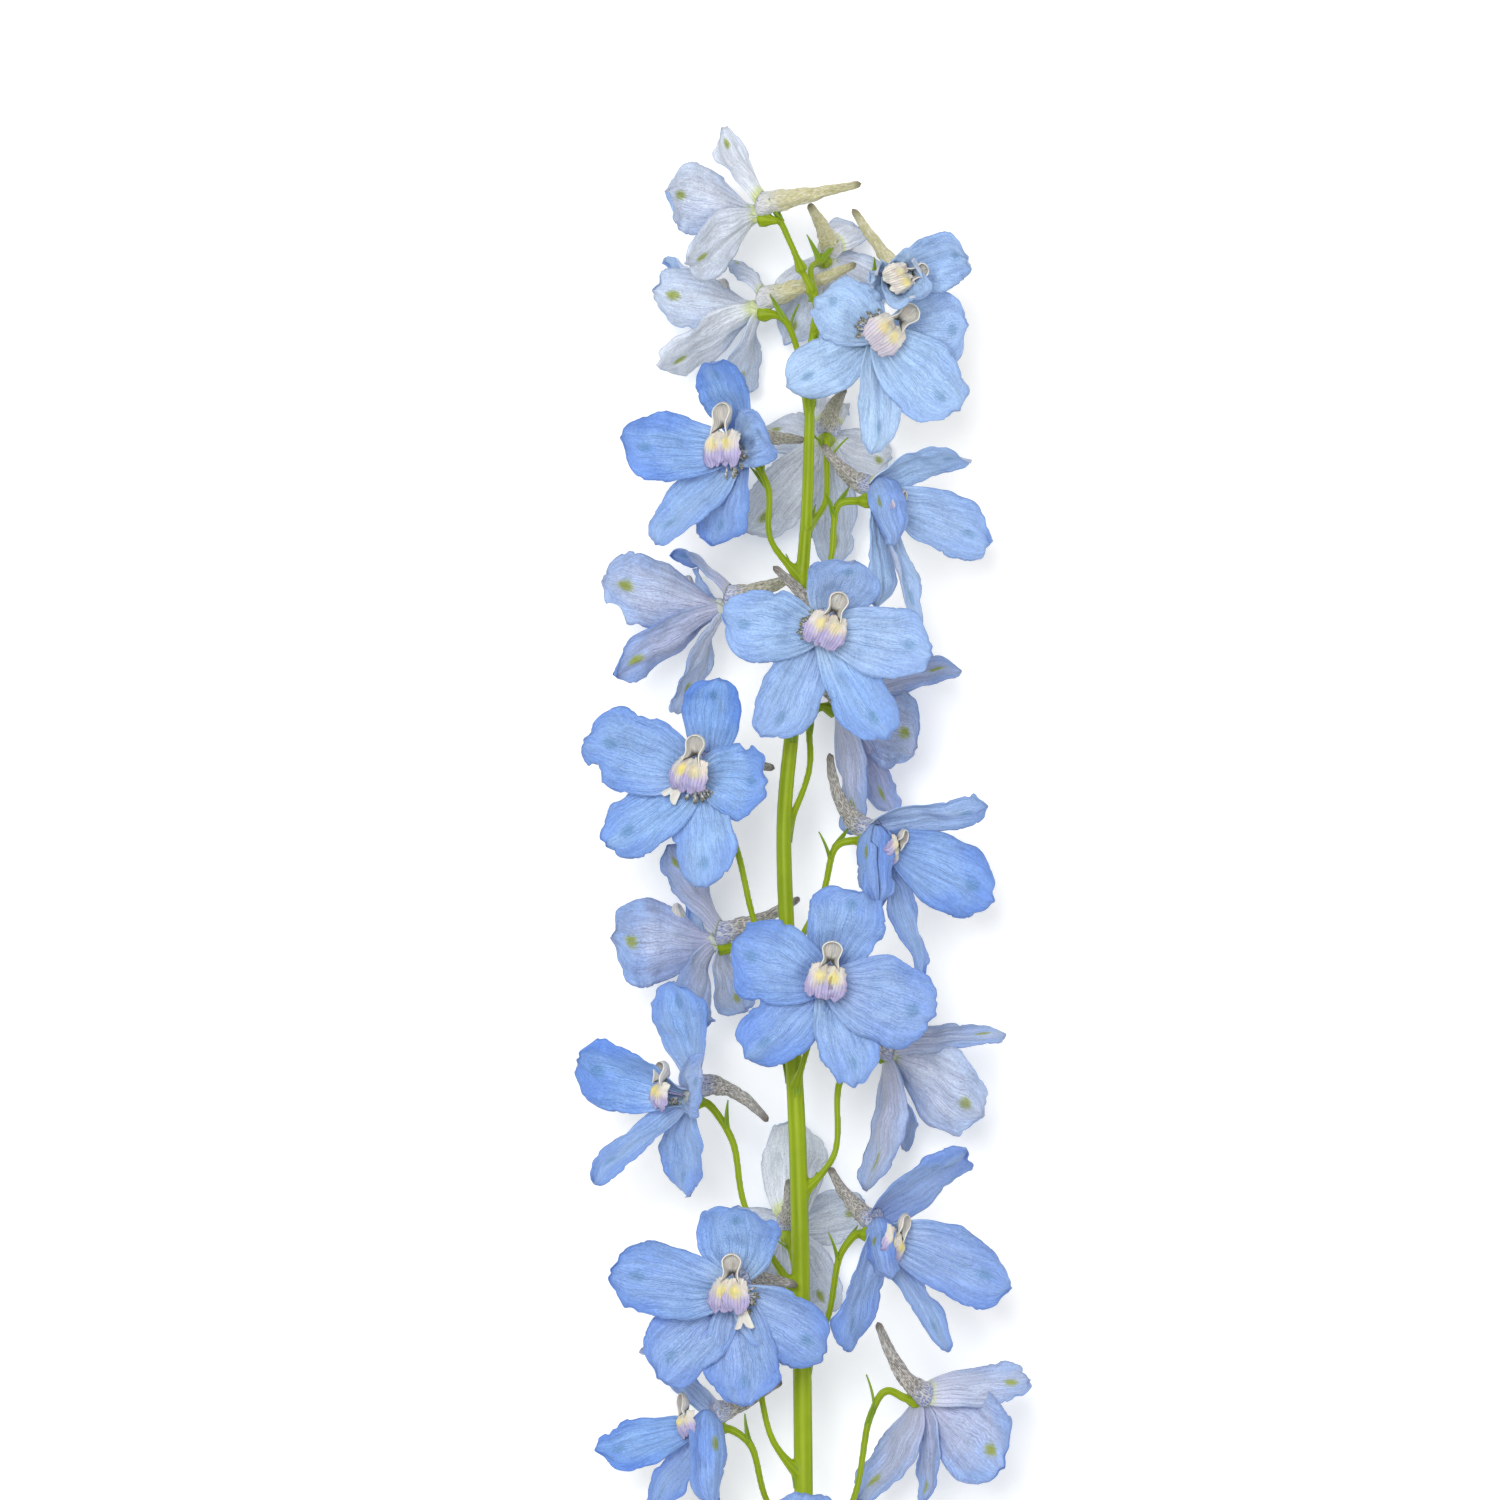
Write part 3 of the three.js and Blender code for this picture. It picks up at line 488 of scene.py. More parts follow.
@dataclass(frozen=True)
class LobeSkin:
    """The lower petals of the bee: cream above, with a yellow patch, and lavender below."""

    cream: Colour = rgb(234, 226, 212)
    yellow: Colour = rgb(238, 222, 130)
    lavender: Colour = rgb(184, 176, 214)
    vein: Colour = rgb(150, 140, 190)

    def material(self) -> bpy.types.Material:
        """Builds the finish."""
        shader = Shader("bee_lobe_skin", Subsurface_Weight=0.2, Subsurface_Scale=0.0006)
        pattern, height, across, _ = shader.attribute(Layer.PATTERN)
        _, yellow, young, _ = shader.attribute(Layer.TONE)
        patch = shader.noise(shader.scaled(pattern, (1.6, 1.6, 4.0)), 1.0, 3.0)
        fibre = shader.noise(shader.scaled(pattern, (2.0, 11.0, 4.0)), 1.0, 2.0)
        low = (0.1 - height + (patch - 0.5) * 1.2 + (across - 0.1).size() * 0.5).ramp(-0.2, 0.75)
        colour = shader.blend(low * (1 - young), self.cream, self.lavender)
        beard = height.hill(0.26, 0.42) * (across + 0.1).hill(0.0, 0.62) * (0.5 + patch + (fibre - 0.5))
        colour = shader.blend(beard.ramp(0.15, 1.0) * yellow, colour, self.yellow)
        lines = (across * 4.2 + patch * 0.8).line(0.22) * (0.45 - height).ramp(0.0, 0.6)
        colour = shader.blend(lines * 0.35, colour, self.vein)
        colour = shader.scaled_by(colour, 0.93 + (fibre - 0.5) * 0.3 + (patch - 0.5) * 0.3)
        hairs = shader.noise(shader.object_place(), 4200.0, 3.0)
        shader.relief(lines * -0.5 + fibre + patch * 0.6 + hairs * beard.ramp(0.1, 0.6, 0.3, 1.2), 0.2)
        return shader.paint(colour, 0.6 + patch * 0.15)


@dataclass(frozen=True)
class HoodSkin:
    """The upper petals of the bee: warm grey-white, with painted highlight on the paler rims, painted shade on
    the greyer wall, and dark painted shade where they enter the throat.
    """

    # the wall greyer than the rims: painted shade inside the cowl
    shaded_wall: Colour = rgb(204, 200, 188)
    # painted highlight on the curled rims
    rim: Colour = rgb(226, 223, 212)
    # painted shade where the petals enter the throat
    deep: Colour = rgb(78, 75, 66)
    tint: Colour = rgb(186, 186, 192)

    def material(self) -> bpy.types.Material:
        """Builds the finish."""
        shader = Shader("bee_hood_skin", Subsurface_Weight=0.15, Subsurface_Scale=0.0006)
        pattern, along, across, _ = shader.attribute(Layer.PATTERN)
        patch = shader.noise(shader.scaled(pattern, (4.0, 3.0, 4.0)), 1.0, 3.0)
        colour = shader.blend((patch - 0.3).ramp(0.0, 0.4) * 0.7, self.shaded_wall, self.tint)
        # painted highlight toward the rim
        colour = shader.blend(across.ramp(0.7, 0.96), colour, self.rim)
        back = (0.15 - across + (patch - 0.5) * 0.4).ramp(0.0, 0.7)
        # painted shade low on the inner side, in the throat
        colour = shader.blend(back * along.ramp(0.48, 0.3), colour, self.deep)
        ribs = (across * 3.2 + patch).line(0.3)
        shader.relief(ribs * 0.6 + patch, 0.14)
        return shader.paint(colour, 0.5 + patch * 0.2)


@dataclass(frozen=True)
class StamenSkin:
    """Anthers and filaments: dark olive bodies on pale stalks."""

    anther: Colour = rgb(78, 78, 62)
    dust: Colour = rgb(190, 188, 164)
    filament: Colour = rgb(220, 220, 222)

    def material(self) -> bpy.types.Material:
        """Builds the finish."""
        shader = Shader("stamen_skin")
        _, along, _, _ = shader.attribute(Layer.PATTERN)
        grain = shader.noise(shader.object_place(), 4200.0, 3.0)
        colour = shader.blend(grain.ramp(0.42, 0.7), self.anther, self.dust)
        colour = shader.blend(along.ramp(0.9, 0.8), colour, self.filament)
        shader.relief(grain, 0.1)
        return shader.paint(colour, 0.6 + grain * 0.2)


@dataclass(frozen=True)
class StemSkin:
    """Smooth green skin with faint ridges and a lighter stripe between them."""

    name: str
    green: Colour
    light: Colour
    dark: Colour
    pith: Colour = rgb(206, 214, 150)
    stripes: float = 7.0

    def material(self) -> bpy.types.Material:
        """Builds the finish."""
        shader = Shader(self.name, Subsurface_Weight=0.08, Subsurface_Scale=0.001, Specular_IOR_Level=0.25)
        shader.surface.inputs["Coat Roughness"].default_value = 0.35
        pattern, along, across, kind = shader.attribute(Layer.PATTERN)
        streak = shader.noise(shader.scaled(pattern, (0.035, 9.0, 3.0)), 1.0, 3.0)
        blotch = shader.noise(shader.object_place(), 120.0, 3.0)
        ridge = (across * self.stripes).line(0.5)
        tone = 0.09 + ridge * 0.2 + streak * 0.6 + blotch * 0.35
        colour = shader.blend(tone.ramp(0.55, 1.0), self.green, self.light)
        colour = shader.blend(tone.ramp(0.62, 0.3) * 0.75, colour, self.dark)
        colour = shader.blend(kind.ramp(1.5, 2.0), colour, self.pith)
        fine = shader.noise(shader.scaled(pattern, (0.8, 40.0, 3.0)), 1.0, 2.0)
        shader.relief(ridge * 0.7 + fine * 0.4, 0.06)
        shader.feed(shader.surface.inputs["Coat Weight"], 0.05 + streak * 0.08)
        return shader.paint(colour, 0.42 + blotch * 0.16)


@dataclass(frozen=True)
class FloorSkin:
    """A plain pale surface with a trace of unevenness."""

    pale: Colour = (0.9, 0.9, 0.895, 1.0)
    paler: Colour = (0.93, 0.93, 0.925, 1.0)
    glow: float = 0.22  # it is a lit table

    def material(self) -> bpy.types.Material:
        """Builds the finish."""
        shader = Shader("pale_floor", Emission_Strength=self.glow)
        cloud = shader.noise(shader.object_place(), 1.5, 2.0)
        return shader.paint(shader.blend(cloud, self.pale, self.paler), 0.8)


# ---------------------------------------------------------------------------------------------
# Pieces in the making
# ---------------------------------------------------------------------------------------------
@dataclass
class Piece:
    """A mesh in the making, joined from sheets and tubes."""

    name: str
    tone: Triple = (0.0, 0.0, 0.0)
    mesh: bmesh.types.BMesh = field(default_factory=bmesh.new)

    def __post_init__(self) -> None:
        """Adds the layers that the finishes read."""
        self.pattern = self.mesh.verts.layers.float_vector.new(Layer.PATTERN.value)
        self.tones = self.mesh.verts.layers.float_vector.new(Layer.TONE.value)
        self.order = self.mesh.verts.layers.int.new("order")

    def sheet(
        self, columns: int, rows: int, surface: Surface, mark: Mark, finish: int = 0
    ) -> list[bmesh.types.BMFace]:
        """Adds a grid laid on a surface.

        Args:
            columns: faces across.
            rows: faces along.
            surface: the place in millimetres for (along 0 to 1, across -1 to 1).
            mark: the pattern values for the same.
            finish: the number of the material.

        Returns:
            The new faces.
        """
        made = bmesh.ops.create_grid(self.mesh, x_segments=columns, y_segments=rows, size=1.0)["verts"]
        faces = {face for vert in made for face in vert.link_faces}
        for face in faces:
            face.material_index = finish
            face.smooth = True
        for vert in made:
            along, across = (vert.co.y + 1) / 2, vert.co.x
            vert[self.pattern] = mark(along, across)
            vert[self.tones] = self.tone
            vert.co = in_scene(resting(surface(along, across)))
        bmesh.ops.remove_doubles(self.mesh, verts=made, dist=JOIN)
        return [face for face in faces if face.is_valid]

    def blade(
        self,
        columns: int,
        rows: int,
        surface: Surface,
        mark: Mark,
        thick: float,
        toward: Vector,
        finishes: tuple[int, int] = (0, 0),
    ) -> None:
        """Adds a thin sheet with a front and a back.

        Args:
            columns: faces across.
            rows: faces along.
            surface: the middle surface in millimetres.
            mark: the pattern values.
            thick: the thickness in millimetres, thinner toward the margin.
            toward: the way the front looks.
            finishes: the numbers of the front's and the back's materials.
        """
        faces = self.sheet(columns, rows, surface, mark, finishes[0])
        verts = list({vert for face in faces for vert in face.verts})
        for face in faces:
            face.normal_update()
        for vert in verts:
            vert.normal_update()
        facing = sum((vert.normal.dot(toward) for vert in verts), 0.0)
        side = 1.0 if facing > 0 else -1.0
        steps = []
        for number, vert in enumerate(verts):
            vert[self.order] = number
            across = abs(vert[self.pattern][1])
            steps.append(vert.normal * side * thick * MM / 2 * mix(1.0, 0.6, across**3))
        grown = bmesh.ops.extrude_face_region(self.mesh, geom=faces, use_keep_orig=True)["geom"]
        for vert in verts:
            vert.co += steps[vert[self.order]]
        for item in grown:
            if isinstance(item, bmesh.types.BMVert):
                item.co -= steps[item[self.order]]
            elif isinstance(item, bmesh.types.BMFace):
                item.material_index = finishes[1]
        shell = {face for vert in verts for face in vert.link_faces}
        shell.update(item for item in grown if isinstance(item, bmesh.types.BMFace))
        bmesh.ops.recalc_face_normals(self.mesh, faces=list(shell))

    def tube(
        self,
        sides: int,
        rows: int,
        spine: Callable[[float], tuple[Vector, Vector, Vector]],
        radius: Callable[[float, float], float],
        mark: Mark,
        finish: int = 0,
    ) -> None:
        """Adds a closed tube round a spine, its ends drawn to a point.

        Args:
            sides: faces round.
            rows: faces along.
            spine: the centre and the two directions across, for a share of the length.
            radius: the radius in millimetres for (share of the length, angle).
            mark: the pattern values for (along, across).
            finish: the number of the material.
        """

        def surface(along: float, across: float) -> Vector:
            """The place on the tube's skin."""
            centre, side, other = spine(along)
            angle = math.pi * across
            reach = 0.0 if along in (0.0, 1.0) else radius(along, angle)
            return centre + (side * math.cos(angle) + other * math.sin(angle)) * reach

        faces = self.sheet(sides, rows, surface, mark, finish)
        bmesh.ops.recalc_face_normals(self.mesh, faces=faces)

    def object(self, materials: Iterable[bpy.types.Material]) -> bpy.types.Object:
        """Makes the piece an object in the scene."""
        for vert in self.mesh.verts:
            vert.co = held(vert.co)
        data = bpy.data.meshes.new(self.name)
        self.mesh.verts.layers.int.remove(self.order)
        self.mesh.to_mesh(data)
        self.mesh.free()
        for material in materials:
            data.materials.append(material)
        made = bpy.data.objects.new(self.name, data)
        bpy.context.scene.collection.objects.link(made)
        return made


def through(places: Sequence[Triple], share: float) -> Vector:
    """A place a share of the way along a smooth line through evenly paced places."""
    run = share * (len(places) - 1)
    low = min(int(run), len(places) - 2)
    a, b, c, d = (Vector(places[clamp(i, 0, len(places) - 1)]) for i in range(low - 1, low + 3))
    t = run - low
    return b + (c - a) * (t / 2) + (a * 2 - b * 5 + c * 4 - d) * (t * t / 2) + ((b - c) * 3 + d - a) * (t**3 / 2)


def placed(piece: bpy.types.Object, slot: Slot, *nodes: str) -> bpy.types.Object:
    """Puts a finished piece on the body, in place of the nodes that it stands for."""
    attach(piece, BODY)
    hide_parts(*nodes)
    LOG.info("%s: %d faces", piece.name, len(piece.data.polygons))
    return piece


# ---------------------------------------------------------------------------------------------
# A floret and its frame
# ---------------------------------------------------------------------------------------------
@dataclass(frozen=True)
class Bite:
    """A deep cut in a sepal's margin: which sepal, how far along, which side, and its size in mm."""

    sepal: int
    along: float
    side: int
    depth: float
    width: float


@dataclass(frozen=True)
class Floret:
    """Where a floret grows and how it looks; see the table below."""

    heart: Triple
    face: tuple[float, float]  # degrees round the stem from straight up toward +X, then toward the tip
    sepals: tuple[tuple[float, ...], ...]  # how far each tip is from the heart, width, twist
    spur: Triple  # how far its end is from the heart
    joint: float | None  # where its pedicel leaves the stem
    way: tuple[Triple, ...]  # places that the pedicel passes
    pale: float = 0.0  # how faded its blue is
    mauve: float = 0.2  # how mauve
    olive: float = 0.0  # how olive its spur is
    roll: float = 0.0  # how far its bee leans, in degrees
    bee: float = 1.0  # how large its bee is
    sag: float = 0.0  # how far its bee hangs down, in millimetres
    cream: float = 0.0  # how far its bee is cream where others are lavender
    stamens: float | None = None  # the side where its stamens show, in degrees from the bee's right
    flap: tuple[float, float, float] | None = None  # a stray pale petal: its place and its turn
    cover: tuple[int, Triple] | None = None  # the sepal that closes its throat, and where its foot is
    bites: tuple[Bite, ...] = ()

    def frame(self) -> "FloretFrame":
        """Its own directions."""
        turn, toward = (math.radians(a) for a in self.face)
        out = Vector(
            (math.sin(turn) * math.cos(toward), math.sin(toward), math.cos(turn) * math.cos(toward))
        )
        up = Vector(self.sepals[0][:3])
        up = (up - out * up.dot(out)).normalized()
        return FloretFrame(Vector(self.heart), out, up, up.cross(out))

    def openness(self) -> float:
        """How wide the bee opens: all the way in an open floret, less inside a trumpet."""
        out = self.frame().out
        across = [
            math.sqrt(1 - min(1.0, Vector(tip[:3]).normalized().dot(out) ** 2)) for tip in self.sepals
        ]
        return clamp((sum(across) / len(across) - 0.35) / 0.55, 0.75, 1.0) * self.bee


@dataclass(frozen=True)
class FloretFrame:
    """A floret's heart, the way it looks, the way its upper sepal points, and its right."""

    heart: Vector
    out: Vector
    up: Vector
    right: Vector

    def place(self, x: float, y: float, z: float) -> Vector:
        """A place to the right, up, and out of its face, in millimetres."""
        return self.heart + self.right * x + self.up * y + self.out * z


HUB_RADIUS, HUB_BACK, HUB_FRONT = 2.3, 1.4, 1.9
SEAT_GAP = 0.3
SPUR_ABOVE, SPUR_THROAT = 2.4, 5.8  # where the spur leaves the heart's back, and its width there
SPUR_MOUTH_ROUND = 8.4  # how much of the spur's girth the upper sepal takes in
LAYERS = (-0.3, 0.7, -0.2, -1.0, 0.7)  # how far each sepal's base lies in front of the heart

FLORETS = (
    Floret((-9.5, 355.5, 0), (-112, 5),
           ((-8.5, 18, 2, 7.5, -35), (-20, 4.5, 13, 15), (-14.5, -12.5, 13, 12.5),
            (-15, -8.5, -9, 12), (-12.5, 4.5, -17, 13)),
           (23, 6.5, 4), None, ((-2.5, 350, 0), (-4.5, 354, 0)), pale=0.85, mauve=0.0, olive=1.0),
    Floret((-9.5, 335, -11), (-112, 0),
           ((-6, 11, -3, 8, -30), (-22.5, 3.5, 6, 15), (-21, -14, 6, 13),
            (-4, -18, -9, 12, 40), (-20.5, 11, -11, 14)),
           (22, 10, 5), 313, ((-0.5, 325.5, -3), (-3, 332, -7)), pale=0.7, mauve=0.0, olive=0.8),
    Floret((6, 346.5, -14), (168, -12),
           ((6, 7.5, -9, 11), (-10.5, -11.5, -9, 12), (-9.5, -18.5, -4, 12),
            (2, -19.5, -8, 12), (14.5, -8, -12, 12)),
           (-4, 11.5, 11), 338, ((2.5, 344, -4), (4.5, 345.5, -9)), pale=0.75, mauve=0.0, olive=0.9),
    Floret((19.5, 341, 10), (15, -4),
           ((16.5, 5, 4, 13), (5.5, -5.5, 10.5, 16), (-3.5, -3, 8, 8),
            (-3.5, 1, 8, 8), (6, 2.5, 10, 12)),
           (-8, 16, -15), 330, ((8.5, 334, -1), (15, 338.5, 0)), pale=0.75, mauve=0.0, olive=0.8,
           cream=1),
    Floret((16.5, 328.5, 8), (14, 0),
           ((20, 1.5, -2, 17), (17.5, -17, 5, 18), (0.5, -26, 6, 9.5),
            (-19, -11.5, 8, 13), (-12, 9, 7, 15.5)),
           (-5.5, -8, -16), 315, ((6, 321, 4), (13, 326, 5)), pale=0.65, mauve=0.0, olive=0.6,
           roll=35, stamens=-170, cream=0.5),
    Floret((-13, 303, 8), (-34, 4),
           ((-7, 19, 8, 12), (5.5, 4.5, 18, 13), (-5, -20.5, 3, 14),
            (-19.5, -19.5, 8, 12), (-26, 1, 8, 15)),
           (14, 3, -14), 275, ((-6.5, 284, 2), (-7, 295, 3)), pale=0.15, olive=0.3, roll=-8,
           bee=1.25, stamens=-40),
    Floret((6, 306.5, -13), (180, -22),
           ((2, 9, -16, 8), (-13.5, 3, -12, 12), (-17, -21, -5, 13),
            (2, -27.5, -6, 11), (14, -5.5, -9, 13)),
           (4, 11, 8), 286, ((5.5, 292, -5), (6, 301, -8)), pale=0.9, mauve=0.05, olive=0.4),
    Floret((16.5, 293, 5), (60, -4),
           ((20, 9, 4, 11), (25, -10, -5, 15), (9, -27.5, 3, 8.5),
            (1.5, -24, 6, 9), (5, -9.5, 8, 8.5, -90)),
           (-11.5, 12, -8), 266, ((6.5, 278.5, 3), (8.5, 291.5, 3)), pale=0.55, olive=0.2,
           sag=3,
           bee=0.7, cover=(4, (0.9, 4.4, 1.6))),
    Floret((-17, 269, -4), (-102, 2),
           ((-11, 12.5, -4, 9, 30), (-26, 6, 10, 16), (-24, -14, 7, 12.5),
            (-9, -23, -8, 11, 40), (-7, 5, -22, 12)),
           (17, 7.5, -4), 239, ((-3.5, 251, -3), (-9, 265, -4)), mauve=0.4, olive=0.4,
           bites=(Bite(1, 0.84, 1, 4.0, 2.4),)),
    Floret((4.5, 263.5, 16), (8, 0),
           ((7, 15, 6, 16.5), (24, -4, 4, 15.5), (14, -23.5, 5, 13),
            (-11.5, -23.5, 5, 14), (-21.5, 2, 6, 16)),
           (-10.5, 14.5, -10), 241, ((0, 251, 6), (1.5, 259.5, 9)), pale=0.3, stamens=172),
    Floret((-21.5, 232, 8), (-20, 0),
           ((3, 21, 6, 13.5), (14, -1.5, 8, 17), (1, -24, 5, 14.5),
            (-20.5, -15.5, 5, 14), (-25, 9, 6, 18)),
           (16, 1.5, -13), 186, ((-9.5, 198.5, 3), (-14, 216, 4)), pale=0.08, stamens=-62,
           flap=(-2.2, -2.2, 150),
           bites=(Bite(4, 0.84, -1, 3.0, 1.6), Bite(1, 0.72, -1, 2.0, 1.2))),
    Floret((9, 247, -10), (122, -14),
           ((26, 9, 1, 7), (17, -7, 9, 18), (11.5, -23.5, -5, 12),
            (3.5, -27.5, 2, 12), (14.5, 4, -18, 13)),
           (-7.5, 11.5, 4), 219, ((2, 233, -5), (2.5, 245, -8)), mauve=0.5),
    Floret((16, 218, 6), (58, -6),
           ((25, 6, 3, 8), (26.5, -13, -4, 17), (11, -29.5, 2, 10),
            (0.5, -21, 7, 10), (0.5, -13.5, 8.6, 9, -90)),
           (-9.5, 19, -12), 191, ((5, 206, 3), (8, 216.5, 4)), pale=0.15, mauve=0.3,
           sag=2.7,
           bee=0.85, cover=(4, (0.3, 3.4, 2.2))),
    Floret((-18.5, 195, -6), (-106, 0),
           ((-11, 21, 4, 11, -45), (-23, 0.5, 11, 20), (-3.5, -18, 13, 12, 40),
            (6.5, -15, -8, 12, 30), (-5.5, 8.5, -21.5, 12)),
           (18.5, 10, -3), 166, ((-6, 180.5, -3), (-12, 191.5, -5)), mauve=0.3),
    Floret((5.5, 187, 18), (2, 2),
           ((6.5, 20, 6, 17), (23.5, -7.5, 4, 19), (7.5, -22, 5, 13),
            (-17, -16.5, 5, 15), (-20.5, 7.5, 6, 18.5)),
           (-3, 8, -13), 163, ((1.5, 172, 8), (4, 181.5, 11)), roll=8),
    Floret((-24, 161.5, 4), (-58, 4),
           ((-3, 25, 6, 16, 30), (3, 5, 18, 14), (-1, -21.5, 2, 15),
            (-22, -17.5, 3, 9), (-25, 6.5, 4, 17)),
           (17, -5.5, 0), 116, ((-12, 137, 2), (-15, 152, 2)), mauve=0.3),
    Floret((19.5, 170.5, -5), (116, -8),
           ((25.5, 4.5, 2, 6), (20.5, -13.5, 6, 20), (3.5, -20.5, -13, 11),
            (-5, -29.5, 2, 14), (15, -2, -22, 13)),
           (-14, 5, 6), 139, ((7.5, 148.5, -1), (9, 165, -2)), pale=0.25, mauve=0.35),
    Floret((-2.5, 131, -13), (180, 0),
           ((2, 24, -4, 14), (-10.5, -0.5, -14.5, 12), (-8, -21, -6, 12),
            (9, -18.5, -6, 12), (17, 4.5, -7, 12)),
           (0, 12, 7), 112, ((-1, 122, -6), (-2, 127.5, -9)), pale=0.75, mauve=0.15),
    Floret((-14, 119, 14), (-10, 0),
           ((0, 19, 8, 19), (19.5, -12.5, 3, 15.5), (2.5, -24, 3, 16),
            (-18, -17, 5, 16), (-27, 5, 5, 16)),
           (13.5, 1, -9), 77, ((-6, 86, 3), (-9, 98, 5)), stamens=-20, flap=(2.6, -2.6, -170)),
    Floret((16.5, 132, 6), (52, -6),
           ((20.5, 17, 3, 15), (29.5, -12, -2, 16.5), (15.5, -26, 3, 9.5),
            (-7.5, -25, 5, 13), (2.5, -10, 8, 7.5, -90)),
           (-10, 14, -3), 102, ((6, 112.5, 2), (9, 127, 3)), mauve=0.35, sag=3,
           bee=1.0, cover=(4, (0.4, 3.2, 2.0))),
    Floret((27, 94.5, -3), (128, -14),
           ((23.5, 3.5, 1, 10.5), (18, -13, 10, 20), (0.5, -24.5, -4, 10),
            (-14.5, -22, -3, 12), (14, -1, -22, 13)),
           (-10, 17.5, 6), 50, ((12, 73.5, 0), (15.5, 91, -1), (19, 96.5, -2.5)), mauve=0.4),
    Floret((-19.5, 89.5, 3), (-62, 0),
           ((-15, 17, 4, 13, -25), (-0.7, -16.5, 8, 9, 90), (2, -22, -10.5, 11),
            (-13.5, -19.5, 2, 12), (-25, -7, -3, 10.5)),
           (15.5, 9.5, -2), 59, ((-7.5, 73, 1), (-11, 85, 2)), mauve=0.3,
           bee=0.88, cover=(1, (-1, 3.4, 2.8))),
    Floret((0, 55.5, 16), (0, 4),
           ((0, 20, 6, 16), (21.5, 2, 5, 17), (13.5, -18.5, 4, 13.5),
            (-10.5, -20, 4, 13.5), (-21.5, 4, 5, 17)),
           (-7, 8.5, -13), 28, ((0.5, 42, 6), (0, 51.5, 9))),
)


